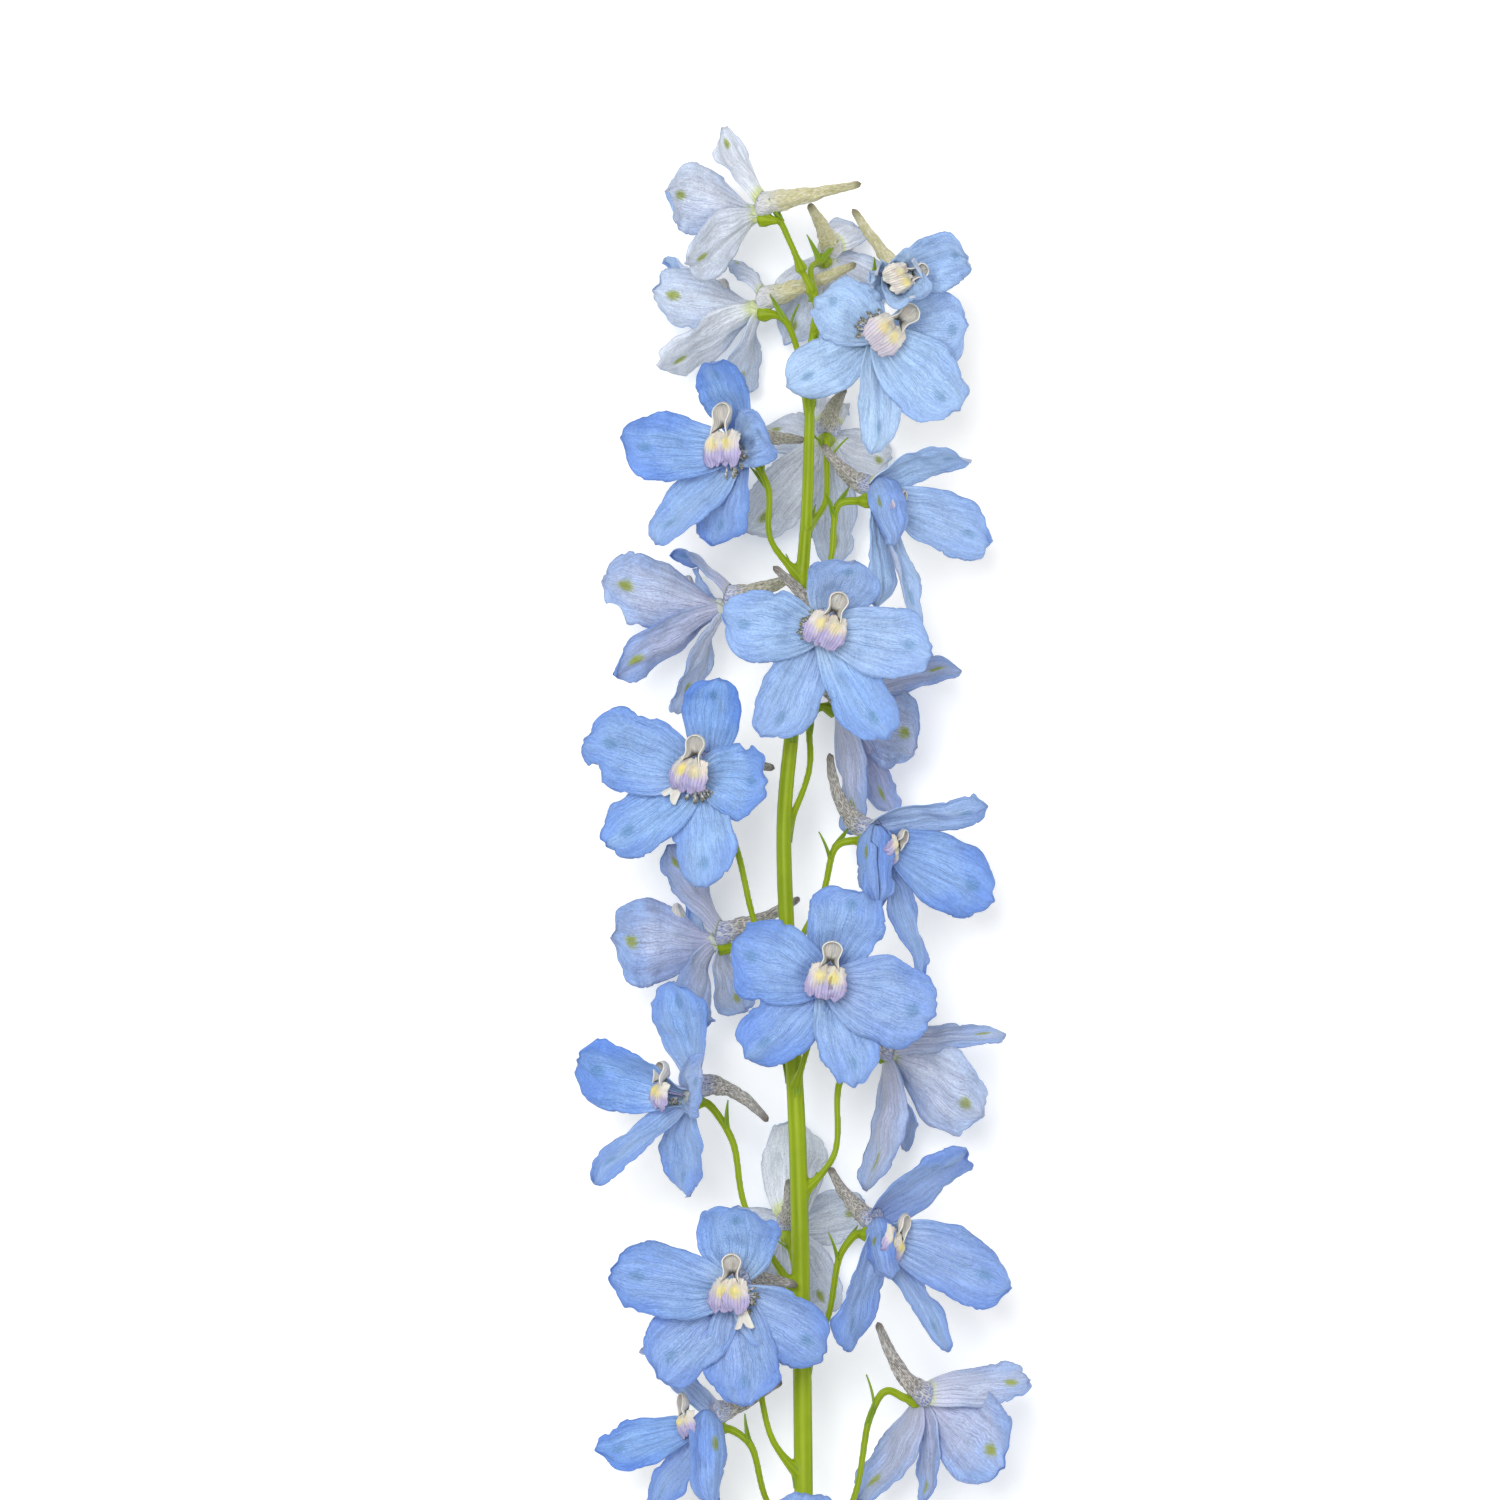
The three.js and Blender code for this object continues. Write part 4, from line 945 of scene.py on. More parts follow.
@dataclass
class Sepal:
    """One sepal: a ruffled blade with a ragged margin and a small point."""

    floret: Floret
    frame: FloretFrame
    index: int
    number: int
    claw: float = 0.34
    longest_claw: float = 0.95  # the upper sepal's, as a share of its width
    hood: float = 4.5  # what an upper sepal gains at its foot where another closes the throat
    hooded_claw: float = 1.5
    shield: float = 0.8  # the claw of one that closes the side of a throat
    shield_cup: float = 0.28
    shield_foot: float = 0.16  # the share of its length over which it rounds off
    dome: float = 2.2
    widest: float = 0.58
    blunt: float = 3.3
    nib: float = 0.35
    thick: float = 0.32
    columns: int = 20
    rows: int = 52
    spines: dict[float, tuple[Vector, Vector, Vector]] = field(default_factory=dict)

    def __post_init__(self) -> None:
        """Works out the middle line and the draws that shape this sepal."""
        self.seed = self.number * 10 + self.index
        frame, out = self.frame, self.frame.out
        entry = self.floret.sepals[self.index]
        layer = LAYERS[self.index]
        reach = Vector(entry[:3])
        self.tip = frame.heart + reach
        forward = reach.dot(out)
        radial = (reach - out * forward).normalized()
        self.radial, self.tangent = radial, radial.cross(out)
        upper = self.index == 0
        self.axis = SPUR_ABOVE if upper else 0.0
        start_at = SPUR_ABOVE + SPUR_THROAT / 2 - 0.1 if upper else 1.0
        if upper:
            longest, foot = self.longest_claw, SPUR_MOUTH_ROUND
            if self.floret.cover:
                longest, foot = self.hooded_claw, foot + self.hood
            self.claw = min(longest, foot / entry[3])
        self.base = frame.heart + radial * start_at + out * (-HUB_BACK if upper else layer)
        self.length = (self.tip - self.base).length
        lean = math.asin(clamp(forward / reach.length, -0.9, 0.9))
        start = lean + mix(0.35, 0.6, draw(self.seed)) * clamp(1 - lean / 1.1)
        self.knee = (
            self.base
            + radial * (math.cos(start) * self.length * 0.45)
            + out * (math.sin(start) * self.length * 0.45 + layer / 2)
        )
        self.width = entry[3]
        turn = entry[4] if len(entry) > 4 else mix(-12, 12, draw(self.seed + 0.3))
        self.twist = math.radians(turn)
        cover = self.floret.cover
        self.covers = cover is not None and cover[0] == self.index
        if self.covers:
            self.claw = self.shield
            self.base = frame.heart + Vector(cover[1])
            along = self.tip - self.base
            self.length = along.length
            domed = along.cross(out).normalized() * (self.dome if self.twist < 0 else -self.dome)
            self.knee = self.base.lerp(self.tip, 0.45) + domed
        self.wave = draw(self.seed + 0.7) * 6.3
        self.curl = mix(0.1, 0.28, draw(self.seed + 0.5))
        self.roll = mix(-0.5, 0.9, draw(self.seed + 0.9))
        self.rolled = 1 if draw(self.seed + 0.15) > 0.5 else -1
        self.crease = mix(-0.8, 0.8, draw(self.seed + 0.55))
        self.crease_at = mix(-0.55, 0.55, draw(self.seed + 0.25))
        self.hook = mix(-1.8, 1.8, draw(self.seed + 0.77))

    def outline(self, u: float) -> float:
        """Half the width at a share of the length, as a share of the widest half."""
        if u < self.widest:
            rounded = math.sqrt(clamp((u + 0.01) / self.shield_foot)) if self.covers else 1.0
            return mix(self.claw, 1, math.sin(math.pi / 2 * u / self.widest)) * rounded
        t = (u - self.widest) / (1 - self.widest)
        return math.sqrt(max(0.0, 1 - t**self.blunt))

    def spine(self, u: float) -> tuple[Vector, Vector, Vector]:
        """The middle line's place, the way its face looks, and its right, at a share of the length."""
        if u not in self.spines:
            point = self.base * (1 - u) ** 2 + self.knee * (2 * u * (1 - u)) + self.tip * u**2
            along = ((self.knee - self.base) * (1 - u) + (self.tip - self.knee) * u).normalized()
            out = self.frame.out
            face = (out - along * out.dot(along)).normalized()
            face = Matrix.Rotation(self.twist * (1 if self.covers else u), 3, along) @ face
            self.spines[u] = (point, face, along.cross(face))
        return self.spines[u]

    def margin_loss(self, u: float, side: int) -> float:
        """How much of the half width is missing at the margin, in millimetres."""
        run = u * self.length
        wave = noise.noise(Vector((run * 0.2, self.seed * 1.7, side * 9.0 + 40)))
        nick = max(0.0, noise.noise(Vector((run * 0.8, self.seed * 3.1, side * 5.0))) - 0.22)
        tooth = noise.noise(Vector((run * 2.2, self.seed * 3.7, side * 3.0)))
        deep = max(0.0, noise.noise(Vector((run * 0.3, self.seed * 2.9, side * 7.0 + 80))) - 0.3)
        loss = (0.9 * wave + 1.1 * nick + 0.1 * tooth + 2.2 * deep) * ramp(u, 0.25, 0.6)
        for bite in self.floret.bites:
            if bite.sepal == self.index and bite.side == side:
                loss += bite.depth * clamp(1 - abs(u - bite.along) * self.length / bite.width) ** 0.7
        return loss

    def tip_loss(self, x: float) -> float:
        """How much of the length is missing beside the tip, a distance off the middle, in millimetres."""
        notch = noise.noise(Vector((x * 0.25, self.seed * 4.7, 11.0)))
        teeth = max(0.0, noise.noise(Vector((x * 0.8, self.seed * 5.3, 31.0))) - 0.1)
        return (1.6 * notch + 0.9 * teeth) * ramp(abs(x), 0.4, 2.0) - self.nib * ramp(abs(x), 0.9, 0.0)

    def relief(self, u: float, s: float, half: float) -> float:
        """How far the surface stands off its middle line: cup, keel, ruffles, pleats and dents."""
        side = 1 if s > 0 else -1
        far = abs(s)
        cup = (self.shield_cup if self.covers else self.curl * (1.15 - 1.9 * u)) * half * s * s
        rib = -0.45 * max(0.0, 1 - far * 2.2) * math.sin(math.pi * min(1.0, u * 1.1))
        sway = math.sin(7.5 * u + self.wave + (1.7 if s > 0 else 0))
        ruffle = 0.8 * far**3 * sway * u * u * (3 - 2 * u)
        phase = self.wave * 3 + side + 3 * noise.noise(Vector((u * 3, self.seed, side)))
        crimp = 0.3 * far**3 * math.sin(17 * u + phase) * ramp(u, 0.2, 0.6)
        frill = 0.1 * far**2 * math.sin(43 * u + phase * 2) * ramp(u, 0.3, 0.7)
        pleat = 0.15 * math.sin(s * 11 + self.wave + 2 * u) * math.sin(math.pi * u) ** 0.5
        place = Vector((u * self.length, s * half, self.seed * 16.0)) * 0.15
        dent = 1.25 * noise.noise(place) + 0.45 * noise.noise(place * 2.3)
        fold = self.crease * clamp(1 - abs(s - self.crease_at - 0.12 * u) / 0.34)
        edge = self.roll * max(0.0, s * self.rolled - 0.45) ** 2 * 4 * ramp(u, 0.2, 0.5)
        low = cup + rib + ruffle + crimp + frill + pleat + edge
        return low + (dent + fold * ramp(u, 1.0, 0.75)) * ramp(u, 0.05, 0.4)

    def at(self, along: float, s: float) -> Vector:
        """The middle surface, for a share of the grid's length and a place across."""
        u = math.sin(math.pi / 2 * along)
        point, face, spread = self.spine(u)
        side = 1 if s > 0 else -1
        half = self.width / 2 * self.outline(u)
        ragged = 1 + 0.07 * math.sin(9 * u + self.wave + (2 if s > 0 else 0)) * u
        across = half * ragged * s
        if half > 0.4:
            across *= 1 - min(0.85, self.margin_loss(u, side) / half) * abs(s) ** 5
        back = spread.cross(face) * (self.tip_loss(across) * ramp(u, 0.75, 0.97))
        hook = spread * (self.hook * ramp(u, 0.8, 1.0) ** 2)
        step = self.hugged(point, spread, across)
        return point + step + face * self.relief(u, s, half) + back + hook

    def hugged(self, point: Vector, spread: Vector, across: float) -> Vector:
        """The step across from the middle line, bent round the heart or the spur near the base."""
        if self.covers:
            return spread * across
        from_axis = (point - self.frame.heart).dot(self.radial) - self.axis
        radius = max(HUB_RADIUS, from_axis)
        turn = 2 * math.tanh(across / radius / 2)
        bent = self.tangent * (radius * math.sin(turn)) - self.radial * (radius * (1 - math.cos(turn)))
        return (spread * across).lerp(bent, clamp(1.3 - radius / 8))

    def build(self, piece: Piece) -> None:
        """Adds the sepal to its floret's piece."""
        pale = clamp(self.floret.pale + mix(-0.22, 0.28, draw(self.seed + 0.35)))
        # depth: how far the base takes the painted throat shade, most on the upper sepal
        depth = clamp(draw(self.seed + 0.65) * 1.6 - 0.5 + (0.4 if self.index == 0 else 0))
        mauve = clamp(self.floret.mauve + mix(-0.15, 0.5, draw(self.seed + 0.45)))
        piece.tone = (pale * 0.4, mauve * 0.5, 1.0) if self.covers else (pale, mauve, depth)

        def mark(along: float, across: float) -> Triple:
            """Along, across and the sepal's own number; one that covers the throat has its spot midway."""
            u = math.sin(math.pi / 2 * along)
            if self.covers:
                across += math.copysign(0.3, -self.twist)
                return (0.82 - 0.8 * abs(u - 0.4), across, float(self.seed))
            return (u, across, float(self.seed))

        finishes = (3, 3) if self.covers else (0, 1)
        piece.blade(self.columns, self.rows, self.at, mark, self.thick, self.frame.out, finishes)


@dataclass
class SpurAndHub:
    """The hub that carries the sepals, and the wrinkled spur that leaves its back and bends."""

    floret: Floret
    frame: FloretFrame
    number: int
    mouth: float = 5.4  # the spur's width between the sepals
    throat: float = SPUR_THROAT
    tip: float = 1.5
    above: float = SPUR_ABOVE
    lead: float = 0.12  # the share of the spur that lies between the sepals
    sides: int = 24
    rows: int = 50

    def curve(self) -> tuple[Vector, Vector, Vector]:
        """The spur's start, knee and end."""
        frame = self.frame
        start = frame.place(0, self.above, -HUB_BACK)
        end = frame.heart + Vector(self.floret.spur)
        length = (end - start).length
        return start, start - frame.out * (0.5 * length) + frame.up * (0.12 * length), end

    def build_spur(self, piece: Piece) -> None:
        """Adds the spur, from its mouth under the upper sepal to its end."""
        start, knee, end = self.curve()
        upper = self.frame.place(0, self.above + 0.1, 0.0)
        length = (end - start).length

        def spine(t: float) -> tuple[Vector, Vector, Vector]:
            """The spur's centre and its directions across."""
            u = (t - self.lead) / (1 - self.lead)
            if u < 0:
                centre = upper.lerp(start, t / self.lead)
                along = (start - upper).normalized().lerp(-self.frame.out, t / self.lead).normalized()
            else:
                centre = start * (1 - u) ** 2 + knee * (2 * u * (1 - u)) + end * u**2
                along = ((knee - start) * (1 - u) + (end - knee) * u).normalized()
            right = self.frame.right
            side = (right - along * right.dot(along)).normalized()
            return centre, side, along.cross(side)

        def radius(t: float, angle: float) -> float:
            """The spur's radius, with its folds."""
            u = clamp((t - self.lead) / (1 - self.lead))
            plain = mix(self.throat, self.tip, u**0.66) / 2
            flare = mix(1.0, self.mouth / self.throat, ramp(t, self.lead * 1.6, 0.0) * abs(math.cos(angle)))
            closing = math.sqrt(clamp(t / 0.07)) * math.sqrt(clamp((1 - t) / 0.03))
            ring = Vector((math.cos(angle) * 1.1, math.sin(angle) * 1.1, u * length * 0.3 + self.number * 7))
            folds = 0.24 * noise.noise(ring) + 0.14 * noise.noise(ring * 2.9)
            creases = 0.08 * math.sin(5 * angle + 5 * noise.noise(ring * 0.5))
            return plain * flare * closing * (1 + (folds + creases) * ramp(t, 0.05, 0.3))

        def mark(along: float, across: float) -> Triple:
            """Along, a way round that closes on itself, and the floret's number."""
            return (along, math.cos(math.pi * across), self.number + math.sin(math.pi * across) * 0.4)

        piece.tube(self.sides, self.rows, spine, radius, mark, 2)

    def build_hub(self, piece: Piece) -> None:
        """Adds the rounded hub."""
        frame = self.frame
        long = HUB_FRONT + HUB_BACK

        def spine(t: float) -> tuple[Vector, Vector, Vector]:
            """The hub's axis."""
            return frame.place(0, mix(0.5, -0.6, t), HUB_FRONT - t * long), frame.right, frame.up

        def radius(t: float, angle: float) -> float:
            """A dome in front, narrow behind."""
            return mix(HUB_RADIUS, 1.5, ramp(t, 0.3, 0.9)) * math.sqrt(clamp(1 - (1 - t) ** 4))

        def mark(along: float, across: float) -> Triple:
            """The darkest part of a sepal's pattern."""
            return (0.02, across * 0.5, float(self.number))

        piece.tube(20, 10, spine, radius, mark, 1)


@dataclass
class Flower:
    """A floret's blue piece: five sepals, hub and spur."""

    floret: Floret
    number: int

    def build(self, skins: Sequence[bpy.types.Material]) -> bpy.types.Object:
        """Builds the piece and puts it in place of its node."""
        frame = self.floret.frame()
        piece = Piece(f"flower_{self.number:02d}", (self.floret.pale, self.floret.mauve, 0.0))
        for index in range(5):
            Sepal(self.floret, frame, index, self.number).build(piece)
        parts = SpurAndHub(self.floret, frame, self.number)
        parts.build_hub(piece)
        piece.tone = (self.floret.olive, 0.0, 0.0)
        parts.build_spur(piece)
        return placed(piece.object(skins), Slot.BLUE, f"floret_{self.number:02d}")


@dataclass
class Bee:
    """The petals in the throat: two hooded upper ones, two bearded lobes, and the stamens below."""

    floret: Floret
    number: int
    foot: float = HUB_FRONT + SEAT_GAP
    rise: float = 6.4
    sunk: float = 0.72  # the depth's share that is left in a throat that a sepal closes
    # Half of the hood, from its foot on a lobe up to its top: to the side, up, and out.
    hood_rim: tuple[Triple, ...] = (
        (2.5, 2.5, 0.5), (2.1, 3.9, 0.9), (1.9, 5.2, 0.9), (2.3, 6.5, 0.7), (2.45, 7.7, 0.5),
        (1.5, 8.8, 0.4), (0.0, 9.1, 0.4),
    )
    hood_back: tuple[Triple, ...] = (
        (1.5, 3.4, 0.1), (0.6, 4.1, -1.4), (0.0, 4.9, -2.2), (0.0, 6.1, -1.9), (0.0, 7.1, -1.3),
        (0.0, 7.9, -0.7), (0.0, 8.5, -0.2),
    )

    def build(self, skins: Sequence[bpy.types.Material]) -> bpy.types.Object:
        """Builds the piece and puts it in place of its node."""
        self.frame = self.floret.frame()
        self.open = self.floret.openness()
        self.roll = math.radians(self.floret.roll)
        piece = Piece(f"bee_petals_{self.number:02d}")
        for side in (-1, 1):
            self.lobe(piece, side)
            self.hood(piece, side)
        self.stray(piece)
        self.stamens(piece)
        return placed(piece.object(skins), Slot.PALE, f"bee_{self.number:02d}")

    def at(self, x: float, y: float, z: float) -> Vector:
        """A place in the bee, turned with it and narrowed inside a trumpet, z above its foot."""
        c, s = math.cos(self.roll), math.sin(self.roll)
        side, up = (x * c - y * s) * self.open, (x * s + y * c) * self.open
        hang = self.floret.sag * clamp(z / self.rise)
        return self.frame.place(side, up - hang, self.foot + z * (self.sunk if self.floret.cover else 1))

    def lobe(self, piece: Piece, side: int) -> None:
        """Adds a lower petal: a notched shield on a narrow claw."""
        seed = self.number * 4 + (side + 1) / 2
        front = 1.0 if (draw(self.number + 0.8) > 0.5) == (side > 0) else 0.0
        tilt = mix(-0.2, 0.2, draw(seed + 0.1))
        drop = mix(-0.4, 0.5, draw(seed + 0.4))
        cleft = mix(-0.3, 0.3, draw(seed + 0.7))
        depth = mix(0.3, 1.3, draw(seed + 0.9))

        def surface(along: float, across: float) -> Vector:
            """The shield: a disc from a square, narrow above, broad and notched below."""
            gx, gy = across, 2 * along - 1
            square = ramp(gy, -0.2, 0.6) * 0.5
            x = gx * math.sqrt(1 - gy * gy * (1 - square) / 2)
            y = gy * math.sqrt(1 - gx * gx * (1 - square) / 2)
            rim = ramp(math.hypot(x, y), 0.75, 1.0)
            notch = depth * clamp(1 - abs(x - cleft) / 0.26) * ramp(y, -0.5, -0.98)
            teeth = (0.42 * noise.noise(Vector((x * 4.5, y * 4.5, seed * 9)))
                     + 0.26 * noise.noise(Vector((x * 11, y * 11, seed * 7)))) * rim
            px = 1.9 - 0.4 * front + x * (mix(2.1, 3.1, ramp(y, 0.95, -0.35)) + teeth) - y * tilt * 1.6
            py = -0.1 - 0.7 * drop + y * (4.0 + teeth) + notch
            hump = 1.5 * (1 - x * x) * mix(0.6, 1.0, ramp(y, -0.9, 0.2))
            dip = -1.5 * ramp(y, 0.3, 1.0) - 1.1 * ramp(y, -0.35, -1.0)
            wave = 0.2 * math.sin(x * 6 + seed) + 0.8 * noise.noise(Vector((x * 1.6, y * 1.6, seed * 5)))
            return self.at(side * px, py, self.rise - 1.2 + 0.7 * front + hump + dip + wave)

        def mark(along: float, across: float) -> Triple:
            """The shield's height from -1 to 1, its place across from the inner side, and a number."""
            return (2 * along - 1, across, float(seed))

        piece.tone = (mix(0.45, 1.0, draw(seed + 0.2)), self.floret.cream, 0.0)
        piece.blade(20, 24, surface, mark, 0.28, self.frame.out, (0, 0))

        def claw(along: float, across: float) -> Vector:
            """The narrow strip from the throat to the shield's back."""
            x = mix(0.9, 1.7, along) + across * 0.6
            y = mix(0.2, 1.0, along) + 0.25 * across * across
            return self.at(side * x, y, mix(0.1, self.rise - 0.9, along))

        piece.blade(3, 6, claw, lambda a, c: (-0.2, c, float(seed)), 0.3, self.frame.up, (0, 0))

    def hood(self, piece: Piece, side: int) -> None:
        """Adds an upper petal: one half of a cowl that stands over the throat, its rim curled in."""
        seed = self.number * 4 + 2 + (side + 1) / 2
        tall = mix(0.92, 1.06, draw(self.number + 0.2))
        wide = mix(0.86, 1.04, draw(self.number + 0.45)) * mix(0.94, 1.06, draw(seed))

        def surface(along: float, across: float) -> Vector:
            """From the foot that lies on the lobe up to the top; across runs from its back to its rim."""
            t = (across + 1) / 2
            rim, back = through(self.hood_rim, along), through(self.hood_back, along)
            place = back.lerp(rim, t)
            bulge = math.sin(math.pi * min(1.0, t * 1.12)) * ramp(along, 0.15, 0.5)
            x = place.x + 0.55 * bulge * ramp(along, 1.0, 0.7)
            y = place.y + 0.5 * bulge * ramp(along, 0.5, 1.0)
            curl = -0.3 * ramp(t, 0.8, 1.0)
            dent = 0.35 * noise.noise(Vector((along * 3, t * 2, seed * 3)))
            x = (x + curl * ramp(along, 1.0, 0.8)) * wide
            return self.at(side * x, 4.0 + (y - 4.0) * tall, self.rise + place.z - 0.7 * bulge + dent)

        def mark(along: float, across: float) -> Triple:
            """The share of the length, the place from the back to the rim, and a number."""
            return (along, across, float(seed))

        piece.blade(12, 26, surface, mark, 0.3, self.frame.out, (1, 1))

    def stray(self, piece: Piece) -> None:
        """Adds the pale two-lobed flap that stands out of some throats."""
        if self.floret.flap is None:
            return
        left, low, turn = self.floret.flap
        c, s = math.cos(math.radians(turn)), math.sin(math.radians(turn))

        def surface(along: float, across: float) -> Vector:
            """A short fan, cut in two at its end."""
            x = across * mix(0.5, 2.2, along)
            cut = 1.4 * clamp(1 - abs(across) / 0.3) * along
            y = 4.6 * along - cut + 0.5 * noise.noise(Vector((across * 2, along, 3)))
            z = 0.8 * math.sin(2.4 * across + 1) * along + 1.2 * along
            return self.at(left + x * c - y * s, low + x * s + y * c, self.rise - 3.4 + z)

        piece.blade(14, 12, surface, lambda a, c: (0.55 + 0.4 * a, 0.9, 0.3), 0.28, self.frame.out, (1, 1))

    def stamens(self, piece: Piece) -> None:
        """Adds the stamens, bent out from under the lobes to one side."""
        shown = self.floret.stamens is not None
        way, spread = (math.radians(self.floret.stamens), 0.8) if shown else (-math.pi / 2, 1.2)
        low, high = (4.2, 6.0) if shown else (0.6, 2.6)
        for count in range(26):
            seed = self.number * 20 + count
            turn = way + mix(-spread, spread, draw(seed))
            far = mix(low, high, draw(seed + 0.3))
            x, y = far * math.cos(turn), far * math.sin(turn) - 0.4
            z = mix(0.6, 3.2, draw(seed + 0.6))
            foot, head = self.at(x * 0.1, -0.4, 0.2), self.at(x, y, z)
            self.stamen(piece, foot, self.at(x * 0.5, y * 0.5, z + 1.2), head)

    def stamen(self, piece: Piece, foot: Vector, bend: Vector, head: Vector) -> None:
        """Adds a filament from foot to head with its anther."""

        def spine(t: float) -> tuple[Vector, Vector, Vector]:
            """The filament's centre, then the anther's."""
            t = self.along_stamen(t)
            centre = foot * (1 - t) ** 2 + bend * (2 * t * (1 - t)) + head * t**2
            along = ((bend - foot) * (1 - t) + (head - bend) * t).normalized()
            side = along.orthogonal().normalized()
            return centre, side, along.cross(side)

        def radius(t: float, angle: float) -> float:
            """Thin, with a plump end."""
            t = self.along_stamen(t)
            if t < 0.8:
                return 0.09
            return 0.09 + 0.24 * math.sqrt(clamp(1 - ((t - 0.9) / 0.1) ** 2))

        piece.tube(5, 9, spine, radius, lambda a, c: (self.along_stamen(a), c, 0.0), 2)

    @staticmethod
    def along_stamen(share: float) -> float:
        """The share of a stamen's length for a share of its rows, most of which are at its end."""
        return share / 0.35 * 0.8 if share < 0.35 else mix(0.8, 1.0, (share - 0.35) / 0.65)


# ---------------------------------------------------------------------------------------------
# The green stem, pedicels, receptacles and bracts
# ---------------------------------------------------------------------------------------------
@dataclass(frozen=True)
class Route:
    """A smooth line through places, with a radius for each share of its length."""

    places: tuple[Vector, ...]
    radius: Callable[[float], float]
    kind: float

    def points(self, step: float) -> list[Vector]:
        """Places on the line about a step apart, in millimetres."""
        ends = [self.places[0] * 2 - self.places[1], *self.places, self.places[-1] * 2 - self.places[-2]]
        made = []
        for a, b, c, d in zip(ends, ends[1:], ends[2:], ends[3:]):
            first, second = self.tangents(a, b, c, d)
            count = max(2, round((c - b).length / step))
            made += [self.between(b, c, first, second, i / count) for i in range(count)]
        return [*made, self.places[-1].copy()]

    @staticmethod
    def tangents(a: Vector, b: Vector, c: Vector, d: Vector) -> tuple[Vector, Vector]:
        """The directions at b and c of a centripetal curve through four places."""
        ab, bc, cd = ((q - p).length ** 0.5 for p, q in ((a, b), (b, c), (c, d)))
        first = ((b - a) / ab - (c - a) / (ab + bc) + (c - b) / bc) * bc
        second = ((c - b) / bc - (d - b) / (bc + cd) + (d - c) / cd) * bc
        return first, second

    @staticmethod
    def between(b: Vector, c: Vector, first: Vector, second: Vector, t: float) -> Vector:
        """A place a share of the way from b to c."""
        rest = (c - b) * 3 - first * 2 - second
        last = (b - c) * 2 + first + second
        return b + first * t + rest * t**2 + last * t**3


